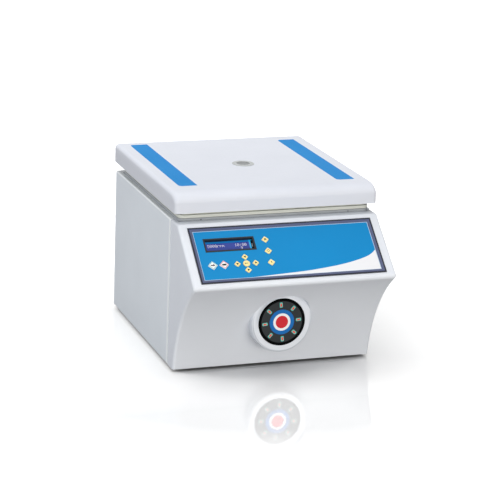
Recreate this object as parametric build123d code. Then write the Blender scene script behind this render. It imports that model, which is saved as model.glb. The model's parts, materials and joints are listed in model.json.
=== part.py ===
from build123d import *
from math import asin, atan2, cos, degrees, hypot, radians, sin, sqrt, tan
import os

os.makedirs("parts", exist_ok=True)

# Bench centrifuge with a swing-out rotor for two microplates.
# Millimetres. X to the right, Y to the back, Z up. The origin is on the bench, under the
# middle of the bounding box. The front faces -Y.

# ---------------------------------------------------------------- driving dimensions
# Whole instrument
overall_height = 395.6
foot_height = 6.0

# Casing
casing_reveal = 2.0
seam_from_neck = 23.5
sheet = 1.5
sheet_flange = 12.0
fold_radius = 3.0
seam_gap = 0.6
assembly_gap = 0.3
running_gap = 0.5
overrun = 1.0
tray_sheet = 2.0
tray_upstand = 25.0
tray_toe_gap = 12.0

# Lid
lid_thickness = 42.5
lid_rear_overhang = 13.0
lid_wall = 3.0
lid_edge_radius = 10.0
lid_crown_depth = 42.0
lid_crown_drop = 21.0
lid_boss_radius = 6.0
lid_boss_inset = 12.0
strip_width = 41.0
strip_from_front = 67.0
strip_from_rear = 29.0
strip_stagger = (4.5, 13.0)
strip_from_side = 29.0
strip_thickness = 0.3
strip_corner = 9.0
port_ring_radius = 25.0
port_lens_radius = 15.0
port_rise = 1.0
port_lens_thickness = 2.5
port_lens_sunk = 0.5
port_lip = 1.0
port_slope = 0.8

# Neck between lid and casing
neck_height = 20.0
neck_inset = 13.0
neck_inset_rear = 32.0
neck_corner = 14.0
neck_edge = 1.5
deck_flange = 6.0
plug_proud = 0.5
plug_seat = 0.1
plateau_rise = 5.6
liner_gap = 0.5
liner_bead_height = 6.8
liner_bead_width = 7.0
liner_wall = 3.0
liner_waist = 6.0
armour_plate = 2.5
armour_corner = 10.0
liner_bead_edge = 0.8

# Front fascia
fascia_wall = 3.0
fascia_inset = 0.8
ledge_depth = 22.8
ledge_corner = 6.0
panel_slope = 39.7
nose_radius = 8.0
sweep_radius = 332.0
toe_setback = 131.4
panel_margin_low = 3.8
panel_margin_high = 11.6
fascia_edge_radius = 6.0

# Control panel, measured on the slope from the middle of the panel frame
frame_from_side = 20.5
frame_offset = -1.2
frame_height = 141.0
frame_border = 8.7
frame_rise = 1.6
frame_land = 4.5
overlay_thickness = 2.5
overlay_depth = 0.4
display_from_edge = 75.3
display_v = 25.0
display_width = 113.0
display_height = 34.0
display_border = 3.5
display_depth = 8.0
display_glass = 1.1
display_glass_lap = 1.75
display_seat_depth = 2.0
display_can_depth = 8.0
display_can_inset = (8.0, 6.0)
display_board_margin = 10.0
display_seat = 0.1
command_key = 15.2
arrow_key = 10.4
function_key = 11.6
enter_key_radius = 7.4
key_corner = 1.2
key_rise = 1.0
key_travel = 0.6
key_gap = 0.35
key_flange = 0.6
key_flange_thickness = 1.0
command_from_edge = 38.8
command_pitch = 25.0
key_row_v = -25.5
cursor_from_edge = 100.8
cursor_pitch_x = 20.3
cursor_pitch_v = 16.5
function_from_edge = 155.8
function_v = 2.5
function_pitch = 29.0
board_thickness = 1.6
keypad_board_gap = 0.8
keypad_margin = 5.5
keypad_from_edge = 4.6
dome_radius = 3.0
dome_rise = 0.5
flange_gap = 0.1
key_edge = 0.4
control_board_from_keys = 32.8
control_board_size = (150.0, 90.0)
control_board_depth = 16.0
chip_size = (28.0, 28.0, 2.0)
chip_place = (-20.0, 10.0)
connector_size = (30.0, 16.0, 5.0)
connector_place = (30.0, -20.0)
pillar_radius = 3.0
pillar_inset = 5.0

# Round indicator on the front
indicator_z = 114.0
indicator_setback = 80.0
indicator_radius = 53.0
indicator_thickness = 4.0
indicator_rim = 4.0
indicator_land = 15.0
indicator_draft = 3.0
indicator_edge = 2.5
led_radius = 38.3
led_count = 8
led_start = 4.3
led_width = 7.0
led_length = 12.0
led_rise = 0.4
led_back = 1.0
led_edge = 0.3
led_seat = 0.1
badge_ring_radius = 28.0
badge_radius = 20.0
badge_rise = 0.8
badge_edge = 0.3

# Chamber
chamber_radius = 190.0
chamber_sheet = 1.5
chamber_floor_z = 180.0
chamber_corner = 18.0
chamber_rim = 10.0
deck_side_land = 17.0
deck_front_land = 20.0
deck_rear_land = 16.0
shaft_opening_radius = 34.0
boot_gap = 3.0
boot_wall = 3.0
boot_overlap = 6.0
boot_lip = 4.0
seal_width = 8.0
seal_edge = 2.5
guard_clearance = 6.0
guard_wall = 6.0
guard_below_deck = 9.0
guard_bottom_z = 160.0
post_side = 22.0
post_wall = 2.0

# Rotor: two carriers for a plate of 127.8 x 85.5
plate_length = 127.8
plate_width = 85.5
plate_clearance = 0.6
carrier_wall = 2.5
carrier_drop = 62.0
carrier_side_height = 34.0
trunnion_from_axis = 88.0
trunnion_z = 270.0
trunnion_radius = 6.0
trunnion_running = 0.05
trunnion_boss_radius = 12.0
trunnion_boss_width = 3.0
carrier_corner = 5.0
carrier_window_corner = 8.0
cheek_foot = 0.8
yoke_gap = 0.5
yoke_bar_width = 13.0
yoke_bar_height = 32.0
yoke_end = 14.0
yoke_pocket_wall = 7.0
yoke_pocket_floor = 4.0
yoke_pocket_land = 22.0
yoke_web_half = 36.0
yoke_web_setback = 6.0
yoke_web_rail = 10.0
yoke_web_land = 8.0
hub_radius = 30.0
hub_below = 62.0
hub_taper = 10.0
hub_taper_height = 20.0
shaft_radius = 10.0
shaft_running = 0.05
rotor_nut_radius = 19.0
rotor_nut_height = 16.0
rotor_nut_cap = 4.0
rotor_nut_edge = 2.0
nut_groove_radius = 1.6
nut_grooves = 12

# Drive
motor_radius = 65.0
motor_height = 112.0
motor_fins = 10
motor_fin_depth = 4.0
motor_bore_floor = 20.0
motor_nose_height = 5.0
motor_nose_radius = 49.0
motor_neck_radius = 20.0
motor_plate_radius = 120.0
motor_plate_thickness = 6.0
mount_circle = 97.0
mount_radius = 17.0
mount_height = 38.0
motor_mount_count = 3
mount_waist = 4.0

# Hinges
hinge_from_side = 67.0
hinge_from_rear = 23.0
hinge_above_lid_bottom = 8.5
hinge_pin_radius = 4.0
hinge_running = 0.05
hinge_ear = 6.0
hinge_ear_half_depth = 8.0
hinge_barrel_width = 21.0
hinge_side_gap = 0.5
hinge_leaf_lap = 31.0
hinge_leaf_thickness = 4.0
hinge_foot = 4.0
hinge_pin_head = 2.0
hinge_notch_gap = 1.5

# Lid locks
lock_from_side = 49.0
lock_from_neck = 28.0
striker_radius = 2.5
striker_half_width = 11.0
striker_drop = 40.0
hook_arm = 18.0
hook_clearance = 0.6
hook_wall = 5.5
hook_thickness = 8.0
hook_hub_radius = 8.0
hook_side_gap = 0.4
hook_pin_radius = 4.0
hook_pin_running = 0.05
hook_parked = 50.0
hook_span = 25.0
lock_slot_half_depth = 10.0
lock_slot_margin = 7.0
lock_cheek = 2.0
lock_cheek_gap = 2.5
lock_cheek_front = 14.0
lock_cheek_back = 3.0
lock_cheek_below = 6.0
lock_lug = 9.0
lock_collar = 2.0
lock_slot_gap = 4.0
lock_slot_ease = 5.0
gearbox_size = 24.0
gearbox_corner = 3.0
gearmotor_radius = 10.0
gearmotor_length = 20.0

# Rear services
inlet_from_side = 78.0
inlet_z = 70.0
inlet_width = 48.0
inlet_height = 34.0
inlet_depth = 32.0
inlet_flange = 2.0
inlet_pin_setback = 4.0
inlet_pin_half = (1.0, 2.0)
inlet_pins = ((-7.0, -4.0), (7.0, -4.0), (0.0, -8.0))
inlet_ears = 4.0
inlet_lip = 3.0
inlet_seat = 0.2
socket_half = 12.0
socket_rim = 3.0
socket_top = 1.0
socket_corner = 4.0
fuse_drawer_width = 28.0
fuse_drawer_height = 12.0
fuse_drawer_depth = 23.0
fuse_drawer_above = 2.5
fuse_drawer_proud = 0.6
fuse_grip = (10.0, 3.0)
switch_from_inlet = 60.0
switch_width = 28.0
switch_height = 20.0
switch_wall = 2.5
rocker_reach = 10.0
rocker_rise = 2.2
rocker_tilt = 9.0
rocker_pin_radius = 1.5
rocker_running = 0.05
rocker_hub_wall = 1.8
switch_lip = 2.0
vent_slots = 9
vent_pitch = 10.0
vent_length = 120.0
vent_slot_height = 4.0
vent_bottom_z = 170.0

# Drive inverter on the tray
inverter_from_side = 22.0
inverter_from_seam = 30.0
inverter_size = (50.0, 150.0)
inverter_base = 8.0
inverter_fins = 8
inverter_fin_height = 26.0
inverter_board = 2.0
capacitor_radius = 15.0
capacitor_height = 38.0
capacitor_count = 2

# Feet and fasteners
foot_radius = 16.0
foot_taper = 2.0
foot_from_side = 42.0
foot_from_seam = 35.0
foot_from_casing_rear = 45.0
screw_head_radius = 3.6
screw_head_height = 1.8
screw_shank_radius = 1.8
screw_shank_length = 8.0
rear_screw_z = (35.0, 180.0, 310.0)

# ---------------------------------------------------------------- derived places
# Across: the chamber's rim sets the neck, the neck sets the lid, and the lid the casing.
rim_radius = chamber_radius + chamber_rim
neck_half = rim_radius + deck_side_land
half_lid = neck_half + neck_inset
half_casing = half_lid - casing_reveal

# Front to back: the neck round the chamber, then the ledge, the panel slope and the nose.
slope_down = Vector(0, -cos(radians(panel_slope)), -sin(radians(panel_slope)))
slope_normal = Vector(0, -sin(radians(panel_slope)), cos(radians(panel_slope)))
slope_length = panel_margin_low + frame_height + panel_margin_high
nose_overhang = ledge_depth - slope_length * slope_down.Y + nose_radius * (1 + slope_normal.Y)
neck_depth = 2 * rim_radius + deck_front_land + deck_rear_land
overall_depth = neck_inset_rear + neck_depth + nose_overhang
rear_y = overall_depth / 2
front_y = -overall_depth / 2
neck_rear = rear_y - neck_inset_rear
neck_front = neck_rear - neck_depth
lid_front = neck_front - neck_inset
casing_rear = rear_y - lid_rear_overhang
seam_y = neck_front + seam_from_neck
rotor_y = neck_rear - deck_rear_land - rim_radius

# Heights
lid_top = overall_height - port_rise
lid_bottom = lid_top - lid_thickness
ledge_z = lid_bottom - neck_height
plateau_z = ledge_z + plateau_rise
base_z = foot_height
tray_z = base_z + sheet
liner_bottom = plateau_z + liner_gap
liner_plate_z = liner_bottom + liner_bead_height + liner_waist - liner_wall
armour_z = liner_plate_z + liner_wall
motor_plate_z = tray_z + tray_sheet + mount_height
motor_z = motor_plate_z + motor_plate_thickness

# Nose and concave sweep of the fascia, in the YZ plane
ledge_edge = Vector(0, neck_front - ledge_depth, ledge_z)
slope_foot = ledge_edge + slope_down * slope_length
nose_y = (slope_foot - slope_normal * nose_radius).Y
nose_z = (slope_foot - slope_normal * nose_radius).Z
toe_y = front_y + toe_setback

# The sweep's circle passes through the toe and touches the nose circle from outside.
toe_to_nose = hypot(nose_y - toe_y, nose_z - base_z)
nose_reach = sweep_radius + nose_radius
along = (sweep_radius**2 - nose_reach**2 + toe_to_nose**2) / (2 * toe_to_nose)
across = sqrt(sweep_radius**2 - along**2)
unit_y = (nose_y - toe_y) / toe_to_nose
unit_z = (nose_z - base_z) / toe_to_nose
sweep_y = toe_y + along * unit_y - across * unit_z
sweep_z = base_z + along * unit_z + across * unit_y

# Control panel: its plane, its frame, and the columns of its display and keys
frame_centre = slope_foot - slope_down * (panel_margin_low + frame_height / 2)
frame_centre = frame_centre + Vector(frame_offset, 0, 0)
panel = Plane(origin=frame_centre, x_dir=(1, 0, 0), z_dir=slope_normal)
frame_width = 2 * (half_casing - frame_from_side)
overlay_half_x = frame_width / 2 - frame_border
overlay_half_v = frame_height / 2 - frame_border
display_x = display_from_edge - overlay_half_x
command_x = command_from_edge - overlay_half_x
cursor_x = cursor_from_edge - overlay_half_x
function_x = function_from_edge - overlay_half_x

# Indicator, hinges, locks and rear services
indicator_y = front_y + indicator_setback
hinge_x = neck_half - hinge_from_side
hinge_y = rear_y - hinge_from_rear
hinge_z = lid_bottom + hinge_above_lid_bottom
lock_x = neck_half - lock_from_side
lock_y = neck_front + lock_from_neck
striker_z = liner_plate_z - striker_drop
hook_z = striker_z - hook_arm
inlet_x = inlet_from_side - half_casing
switch_x = inlet_x + switch_from_inlet


# ---------------------------------------------------------------- small helpers
low_centre = (Align.CENTER, Align.CENTER, Align.MIN)
top_centre = (Align.CENTER, Align.CENTER, Align.MAX)
upright = 90.0


def block(x, y, z):
    """Box between limits, each given as a (low, high) pair."""
    size = [high - low for low, high in (x, y, z)]
    centre = [(high + low) / 2 for low, high in (x, y, z)]
    return Pos(*centre) * Box(*size)


def rod(start, end, radius):
    """Round bar between two points."""
    axis = Vector(*end) - Vector(*start)
    return extrude(Plane(origin=start, z_dir=axis) * Circle(radius), axis.length)


def rounded_block(x, y, z, corner):
    """Box between limits with its four upright edges rounded."""
    outline = RectangleRounded(x[1] - x[0], y[1] - y[0], corner)
    return extrude(Pos((x[0] + x[1]) / 2, (y[0] + y[1]) / 2, z[0]) * outline, z[1] - z[0])


def ring(outer, inner, z, centre_y=0.0):
    """Upright tube about the line x = 0, y = centre_y."""
    flat = Circle(outer) - Circle(inner)
    return extrude(Pos(0, centre_y, z[0]) * flat, z[1] - z[0])


def on_panel(x, v, depth=0.0):
    """Place on the control panel: across, up the slope, and above its surface."""
    return panel * Pos(x, v, depth)


def arc(centre, radius, start, end):
    """Arc in the YZ plane between two angles in degrees, counted from +Y towards +Z."""
    turn = [start, (start + end) / 2, end]
    points = [(centre[0] + radius * cos(radians(a)), centre[1] + radius * sin(radians(a))) for a in turn]
    return ThreePointArc(*points)


def screw(start, direction):
    """Pan-head screw whose head rests on start and points along direction."""
    out = Vector(*direction)
    seat = Vector(*start)
    head = rod(seat, seat + out * screw_head_height, screw_head_radius)
    return head + rod(seat - out * screw_shank_length, seat, screw_shank_radius)


def mirrored(shape):
    """The shape together with its mirror image in the YZ plane."""
    return [shape, mirror(shape, about=Plane.YZ)]


# ---------------------------------------------------------------- casing
def fascia_block(inset, reach):
    """Outer form of the fascia, shrunk by inset, carried back and down by reach."""
    back = seam_y - seam_gap + reach
    low = base_z - reach
    outer_sweep = sweep_radius + inset
    toe = sweep_y + sqrt(outer_sweep**2 - (low - sweep_z)**2)
    toe_angle = degrees(asin((low - sweep_z) / outer_sweep))
    meet_angle = degrees(atan2(nose_z - sweep_z, nose_y - sweep_y))
    panel_angle = 90.0 + panel_slope
    corner = ledge_edge - slope_normal * ledge_corner
    corner_y = corner.Y + (ledge_z - ledge_corner - corner.Z) / tan(radians(panel_slope))
    corner_z = ledge_z - ledge_corner
    sweep = arc((sweep_y, sweep_z), outer_sweep, toe_angle, meet_angle)
    nose = arc((nose_y, nose_z), nose_radius - inset, meet_angle + 180.0, panel_angle)
    crest = arc((corner_y, corner_z), ledge_corner - inset, panel_angle, 90.0)
    slope = Line(nose @ 1, crest @ 0)
    ledge = Line(crest @ 1, (back, ledge_z - inset))
    rear = Line((back, ledge_z - inset), (back, low))
    floor = Line((back, low), (toe, low))
    side = make_face(Wire([floor, sweep, nose, slope, crest, ledge, rear]))
    return extrude(Plane.YZ * side, half_casing - fascia_inset - inset, both=True)


def indicator_rod(back, front, radius):
    """Round bar on the indicator's axis between two depths."""
    return rod((0, back, indicator_z), (0, front, indicator_z), radius)


def indicator_drum():
    """Drum that carries the indicator's lower half clear of the sweep, its rim rounded."""
    depth = toe_setback - indicator_setback + fascia_wall
    land = indicator_radius + indicator_land
    drum = Cone(land + depth * tan(radians(indicator_draft)), land, depth, align=top_centre)
    drum = fillet(drum.edges().sort_by(Axis.Z)[-1], indicator_edge)
    drum = Plane(origin=(0, indicator_y, indicator_z), z_dir=(0, -1, 0)) * drum
    keep = block((-half_casing, half_casing), (front_y, toe_y + fascia_wall), (base_z, ledge_z))
    return drum & keep


def indicator_recess(wall):
    """Recess in front of the indicator's upper half, grown by wall at its sides and back."""
    land = indicator_radius + indicator_land + wall
    length = indicator_setback + wall
    wide = land + length * tan(radians(indicator_draft))
    cone = Cone(land, wide, length, align=low_centre)
    return Plane(origin=(0, indicator_y + wall, indicator_z), z_dir=(0, -1, 0)) * cone


def front_fascia():
    """Moulded front: ledge, sloping panel, nose, concave sweep and indicator dish."""
    outer = fascia_block(0.0, 0.0)
    sides = outer.faces().sort_by(Axis.X)
    rims = sides[0].edges() + sides[-1].edges()
    rims = [edge for edge in rims if edge.center().Y < seam_y - overrun]
    rims = [edge for edge in rims if edge.center().Z > base_z + overrun]
    outer = fillet(rims, fascia_edge_radius) + indicator_drum()
    seat_radius = indicator_radius + indicator_rim
    behind = indicator_y + indicator_thickness + fascia_wall
    housing = indicator_recess(fascia_wall) + indicator_rod(behind, indicator_y, seat_radius)
    shell = outer - fascia_block(fascia_wall, fascia_wall) + (housing & outer)
    shell = shell - indicator_recess(0.0)
    pocket = indicator_radius + assembly_gap
    shell = shell - indicator_rod(indicator_y + indicator_thickness, indicator_y - overrun, pocket)
    hollow = indicator_radius + indicator_land - fascia_wall
    drum_back = toe_y + fascia_wall
    cup = indicator_rod(drum_back, indicator_y + fascia_wall, hollow)
    shell = shell - (cup - indicator_rod(behind, indicator_y, seat_radius))
    bore = indicator_radius - indicator_rim
    shell = shell - indicator_rod(drum_back, indicator_y, bore)
    window_x = 2 * (overlay_half_x + assembly_gap)
    window_v = 2 * (overlay_half_v + assembly_gap)
    shell = shell - panel * Box(window_x, window_v, 6 * fascia_wall)
    notch_x = neck_half + assembly_gap
    notch_y = (neck_front - assembly_gap, seam_y + overrun)
    notch_z = (ledge_z - 2 * fascia_wall, ledge_z + overrun)
    return shell - block((-notch_x, notch_x), notch_y, notch_z)


def deck_low():
    """Underside of the deck's flange, which lies under the fascia and the side sheets."""
    return ledge_z - 2 * fascia_wall - assembly_gap


def side_panel():
    """Right side sheet, folded in along all four edges."""
    flange_x = (half_casing - sheet_flange, half_casing)
    top_x = (neck_half + assembly_gap, half_casing)
    y = (seam_y, casing_rear)
    flange_top = deck_low() - assembly_gap
    wall = block((half_casing - sheet, half_casing), y, (base_z, ledge_z))
    wall = wall + block(top_x, (y[0], y[1] - sheet - assembly_gap), (ledge_z - sheet, ledge_z))
    wall = wall + block(flange_x, y, (base_z, tray_z))
    wall = wall + block(flange_x, (y[0], y[0] + sheet), (base_z, flange_top))
    wall = wall + block(flange_x, (y[1] - 2 * sheet, y[1] - sheet), (base_z, flange_top))
    wall = fillet(wall.edges().filter_by(Axis.Y).sort_by(Axis.X)[-2:], fold_radius)
    return drill(wall, rear_screw_spots(), (0, 1, 0))


def rear_screw_spots():
    """Seats of the screws through the rear panel into the side sheets' flanges."""
    x = half_casing - sheet_flange / 2 - 1
    return [(side * x, casing_rear, z) for side in (-1, 1) for z in rear_screw_z]


def hinge_screw_spots():
    """Seats of the screws through the hinge brackets into the rear ledge."""
    x = hinge_barrel_width / 4
    z = ledge_z + hinge_foot
    return [(side * hinge_x + step * x, hinge_y, z) for side in (-1, 1) for step in (-1, 1)]


def drill(shape, seats, direction):
    """Cut the screws' shank holes at the given seats."""
    out = Vector(*direction)
    for seat in seats:
        start = Vector(*seat) - out * screw_shank_length
        shape = shape - rod(start, Vector(*seat) + out, screw_shank_radius)
    return shape


def rear_panel():
    """Rear sheet with the ledge behind the lid's neck, the vents and service cut-outs."""
    half = half_casing - sheet - assembly_gap
    face_y = (casing_rear - sheet, casing_rear)
    ledge_y = (neck_rear + assembly_gap, casing_rear)
    wall = block((-half, half), face_y, (tray_z, ledge_z - sheet))
    wall = wall + block((-neck_half, neck_half), ledge_y, (ledge_z - sheet, ledge_z))
    slot = extrude(Plane.XZ * SlotOverall(vent_length, vent_slot_height), 2 * sheet, both=True)
    for side in (-1, 1):
        for row in range(vent_slots):
            x = side * (vent_length / 2 + vent_pitch)
            wall = wall - Pos(x, casing_rear, vent_bottom_z + row * vent_pitch) * slot
    through = (casing_rear - 2 * sheet, casing_rear + overrun)
    for x, width, height in (
        (inlet_x, inlet_width - 2 * inlet_ears, inlet_height),
        (switch_x, switch_width, switch_height),
    ):
        hole_x = (x - width / 2, x + width / 2)
        wall = wall - block(hole_x, through, (inlet_z - height / 2, inlet_z + height / 2))
    wall = drill(wall, rear_screw_spots(), (0, 1, 0))
    return drill(wall, hinge_screw_spots(), (0, 0, 1))


def base_tray():
    """Folded chassis tray that carries the drive and stands on the feet."""
    half = half_casing - sheet - assembly_gap
    narrow = half_casing - sheet_flange - assembly_gap
    front = toe_y + tray_toe_gap
    rear = casing_rear - 2 * sheet - assembly_gap
    floor_z = (tray_z, tray_z + tray_sheet)
    wall_z = (tray_z, tray_z + tray_upstand)
    tray = block((-half, half), (seam_y + sheet, rear), floor_z)
    tray = tray + block((-narrow, narrow), (front, seam_y + 2 * sheet), floor_z)
    side = block((half - tray_sheet, half), (seam_y + sheet + assembly_gap, rear), wall_z)
    tray = tray + mirrored(side)
    tray = tray + block((-half, half), (rear - tray_sheet, rear), wall_z)
    tray = tray + block((-narrow, narrow), (front, front + tray_sheet), wall_z)
    for spot in foot_spots():
        tray = tray - rod((*spot, base_z), (*spot, floor_z[1] + overrun), screw_shank_radius)
    return tray


def foot_spots():
    """Centres of the four feet."""
    x = half_casing - foot_from_side
    rows = (seam_y + foot_from_seam, casing_rear - foot_from_casing_rear)
    return [(side * x, y) for side in (-1, 1) for y in rows]


def rubber_feet():
    """Four turned rubber feet, each with a spigot up to the tray."""
    feet = []
    for x, y in foot_spots():
        pad = Cone(foot_radius - foot_taper, foot_radius, foot_height, align=low_centre)
        feet.append(Pos(x, y, 0) * pad + rod((x, y, base_z), (x, y, tray_z), foot_radius / 2))
    return feet


def top_deck():
    """Moulded deck: the raised neck under the lid and a flange below the ledges."""
    x = (-neck_half, neck_half)
    y = (neck_front, neck_rear)
    inside_x = (x[0] + fascia_wall, x[1] - fascia_wall)
    inside_y = (y[0] + fascia_wall, y[1] - fascia_wall)
    inside_corner = neck_corner - fascia_wall
    low = deck_low()
    deck = rounded_block(x, y, (low, plateau_z), neck_corner)
    deck = fillet(deck.faces().sort_by(Axis.Z)[-1].edges(), neck_edge)
    flange_x = (x[0] - deck_flange, x[1] + deck_flange)
    deck = deck + block(flange_x, (y[0] - deck_flange, y[1]), (low, low + fascia_wall))
    under = (low - overrun, plateau_z - fascia_wall)
    deck = deck - rounded_block(inside_x, inside_y, under, inside_corner)
    rim = chamber_radius + chamber_sheet + assembly_gap
    deck = deck + ring(rim + 2 * fascia_wall, rim, (low, plateau_z), rotor_y)
    deck = deck - rod((0, rotor_y, low - overrun), (0, rotor_y, plateau_z + overrun), rim)
    slot_x = striker_half_width + lock_slot_margin
    for side in (-1, 1):
        hole_x = (side * lock_x - slot_x, side * lock_x + slot_x)
        deck = deck - block(hole_x, lock_slot_y(), (low - overrun, plateau_z + overrun))
        deck = deck - rod(*plug_axis(side), plug_radius())
    return deck


def lock_slot_y():
    """Front and back of the slot that a striker drops through."""
    return (lock_y - lock_slot_half_depth, lock_y + lock_slot_half_depth)


def plug_radius():
    """Radius of the plugs over the lock's emergency release."""
    return (plateau_rise - fascia_wall) / 2


def plug_axis(side):
    """Ends of a release plug's hole through the front of the neck."""
    z = (ledge_z + plateau_z - fascia_wall / 2) / 2
    ends = (neck_front - overrun, neck_front + fascia_wall + overrun)
    return ((side * lock_x, ends[0], z), (side * lock_x, ends[1], z))


def release_plugs():
    """Two small plugs in the front of the neck, in line with the lid locks."""
    keep_y = (neck_front - plug_proud, neck_front + fascia_wall + overrun)
    keep = block((-half_lid, half_lid), keep_y, (0, lid_top))
    return [rod(*plug_axis(side), plug_radius() - plug_seat) & keep for side in (-1, 1)]


# ---------------------------------------------------------------- chamber
def chamber_bowl():
    """Drawn stainless bowl with a rim that lies on the deck."""
    floor = (0, rotor_y, chamber_floor_z)
    under = (0, rotor_y, chamber_floor_z - chamber_sheet)
    outer = rod(under, (0, rotor_y, plateau_z), chamber_radius + chamber_sheet)
    outer = fillet(outer.edges().sort_by(Axis.Z)[0], chamber_corner)
    rim_z = (plateau_z, plateau_z + chamber_sheet)
    bowl = outer + ring(chamber_radius + chamber_rim, chamber_radius, rim_z, rotor_y)
    inner = rod(floor, (0, rotor_y, rim_z[1] + overrun), chamber_radius)
    inner = fillet(inner.edges().sort_by(Axis.Z)[0], chamber_corner - chamber_sheet)
    below = (0, rotor_y, chamber_floor_z - 2 * chamber_sheet)
    above = (0, rotor_y, chamber_floor_z + overrun)
    return bowl - inner - rod(below, above, shaft_opening_radius)


def chamber_seal():
    """Rubber seal round the chamber's mouth, seated on the bowl's rim."""
    low = plateau_z + chamber_sheet
    high = liner_plate_z - assembly_gap
    outer = chamber_radius + chamber_rim
    seal = ring(outer, outer - seal_width, (low, high), rotor_y)
    return chamfer(seal.edges().sort_by(Axis.Z)[-2:], seal_edge)


def shaft_boot():
    """Rubber boot that closes the bowl's floor round the drive shaft."""
    inner = shaft_radius + boot_gap
    under = chamber_floor_z - chamber_sheet
    pad_z = (under - boot_wall, under)
    boot = ring(shaft_opening_radius + boot_overlap, inner, pad_z, rotor_y)
    return boot + ring(inner + boot_wall, inner, (pad_z[0], chamber_floor_z + boot_lip), rotor_y)


def guard_ring():
    """Steel armour ring round the chamber, welded on four square-tube posts."""
    inner = chamber_radius + chamber_sheet + guard_clearance
    guard_top = ledge_z - guard_below_deck
    guard = ring(inner + guard_wall, inner, (guard_bottom_z, guard_top), rotor_y)
    reach = (inner + guard_wall / 2) / sqrt(2)
    hollow = post_side - 2 * post_wall
    tube = Rectangle(post_side, post_side) - Rectangle(hollow, hollow)
    floor = tray_z + tray_sheet
    for side_x in (-1, 1):
        for side_y in (-1, 1):
            foot = Pos(side_x * reach, rotor_y + side_y * reach, floor)
            guard = guard + extrude(foot * tube, guard_bottom_z - floor)
    return guard


# ---------------------------------------------------------------- drive and rotor
def mount_spots():
    """Centres of the motor's rubber mounts."""
    turn = [radians(90 + step * 360 / motor_mount_count) for step in range(motor_mount_count)]
    return [(mount_circle * cos(a), rotor_y + mount_circle * sin(a)) for a in turn]


def motor_mounts():
    """Waisted rubber mounts between the tray and the motor plate."""
    low = tray_z + tray_sheet
    half = mount_height / 2
    lower = Cone(mount_radius, mount_radius - mount_waist, half, align=low_centre)
    upper = Cone(mount_radius - mount_waist, mount_radius, half, align=low_centre)
    return [Pos(x, y, low) * (lower + Pos(0, 0, half) * upper) for x, y in mount_spots()]


def motor_plate():
    """Round steel plate that the motor stands on."""
    return rod((0, rotor_y, motor_plate_z), (0, rotor_y, motor_z), motor_plate_radius)


def motor_body():
    """Finned motor housing, bored for the shaft."""
    top = motor_z + motor_height
    body = rod((0, rotor_y, motor_z), (0, rotor_y, top), motor_radius - motor_fin_depth)
    pitch = motor_height / motor_fins
    for step in range(motor_fins):
        low = motor_z + step * pitch
        body = body + rod((0, rotor_y, low), (0, rotor_y, low + pitch / 2), motor_radius)
    nose = Cone(motor_nose_radius, motor_neck_radius, motor_nose_height, align=low_centre)
    body = body + Pos(0, rotor_y, top) * nose
    bore_low = (0, rotor_y, motor_z + motor_bore_floor)
    bore_top = (0, rotor_y, top + motor_nose_height + overrun)
    return body - rod(bore_low, bore_top, shaft_radius + shaft_running)


def drive_shaft():
    """Steel shaft from the motor up into the rotor nut."""
    low = motor_z + motor_bore_floor + overrun
    return rod((0, rotor_y, low), (0, rotor_y, rotor_top() + rotor_nut_depth()), shaft_radius)


def yoke_y():
    """Inner and outer face of a yoke bar, from the rotor's axis."""
    inner = carrier_half_length() + trunnion_boss_width + yoke_gap
    return (inner, inner + yoke_bar_width)


def rotor_top():
    """Top of the yoke, which the rotor nut sits on."""
    return trunnion_z + yoke_bar_height / 2


def rotor_nut_depth():
    """Depth of the nut's bore."""
    return rotor_nut_height - rotor_nut_cap


def carrier_half_length():
    """Half the carrier's outside length, along its trunnions."""
    return plate_length / 2 + plate_clearance + carrier_wall


def carrier_half_width():
    """Half the carrier's outside width."""
    return plate_width / 2 + plate_clearance + carrier_wall


def yoke_bar():
    """Rear bar of the yoke, with a lightening pocket towards each end."""
    inner, outer = yoke_y()
    reach = trunnion_from_axis + yoke_end
    z = (trunnion_z - yoke_bar_height / 2, rotor_top())
    bar = rounded_block((-reach, reach), (inner, outer), z, yoke_bar_width / 2 - yoke_gap)
    pocket_x = (yoke_web_half + yoke_web_land, reach - yoke_pocket_land)
    pocket_y = (inner + yoke_pocket_floor, outer + overrun)
    pocket_z = (z[0] + yoke_pocket_wall, z[1] - yoke_pocket_wall)
    for pocket in mirrored(block(pocket_x, pocket_y, pocket_z)):
        bar = bar - pocket
    for side in (-1, 1):
        root = (side * trunnion_from_axis, inner + overrun, trunnion_z)
        tip = (side * trunnion_from_axis, carrier_half_length() - carrier_wall, trunnion_z)
        bar = bar + rod(root, tip, trunnion_radius)
    return bar


def yoke_hub():
    """Tapered hub of the yoke, not yet bored."""
    low = trunnion_z - yoke_bar_height / 2 - hub_below
    taper = Cone(hub_radius - hub_taper, hub_radius, hub_taper_height, align=low_centre)
    return Pos(0, 0, low) * taper + rod((0, 0, low + hub_taper_height), (0, 0, rotor_top()), hub_radius)


def rotor_yoke():
    """Machined rotor: hub, web and two bars with the four trunnions."""
    inner, _ = yoke_y()
    low = trunnion_z - yoke_bar_height / 2
    web_z = (low + yoke_web_setback, rotor_top() - yoke_web_setback)
    web = block((-yoke_web_half, yoke_web_half), (-inner - overrun, inner + overrun), web_z)
    rail = yoke_web_half - yoke_web_rail
    open_y = (hub_radius + yoke_web_setback, inner - yoke_web_land)
    opening = block((-rail, rail), open_y, (low, rotor_top()))
    web = web - opening - mirror(opening, about=Plane.XZ)
    bar = yoke_bar()
    yoke = web + bar + mirror(bar, about=Plane.XZ) + yoke_hub()
    yoke = yoke - rod((0, 0, low - 2 * hub_below), (0, 0, rotor_top() + overrun), shaft_radius)
    return Pos(0, rotor_y, 0) * yoke


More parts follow.
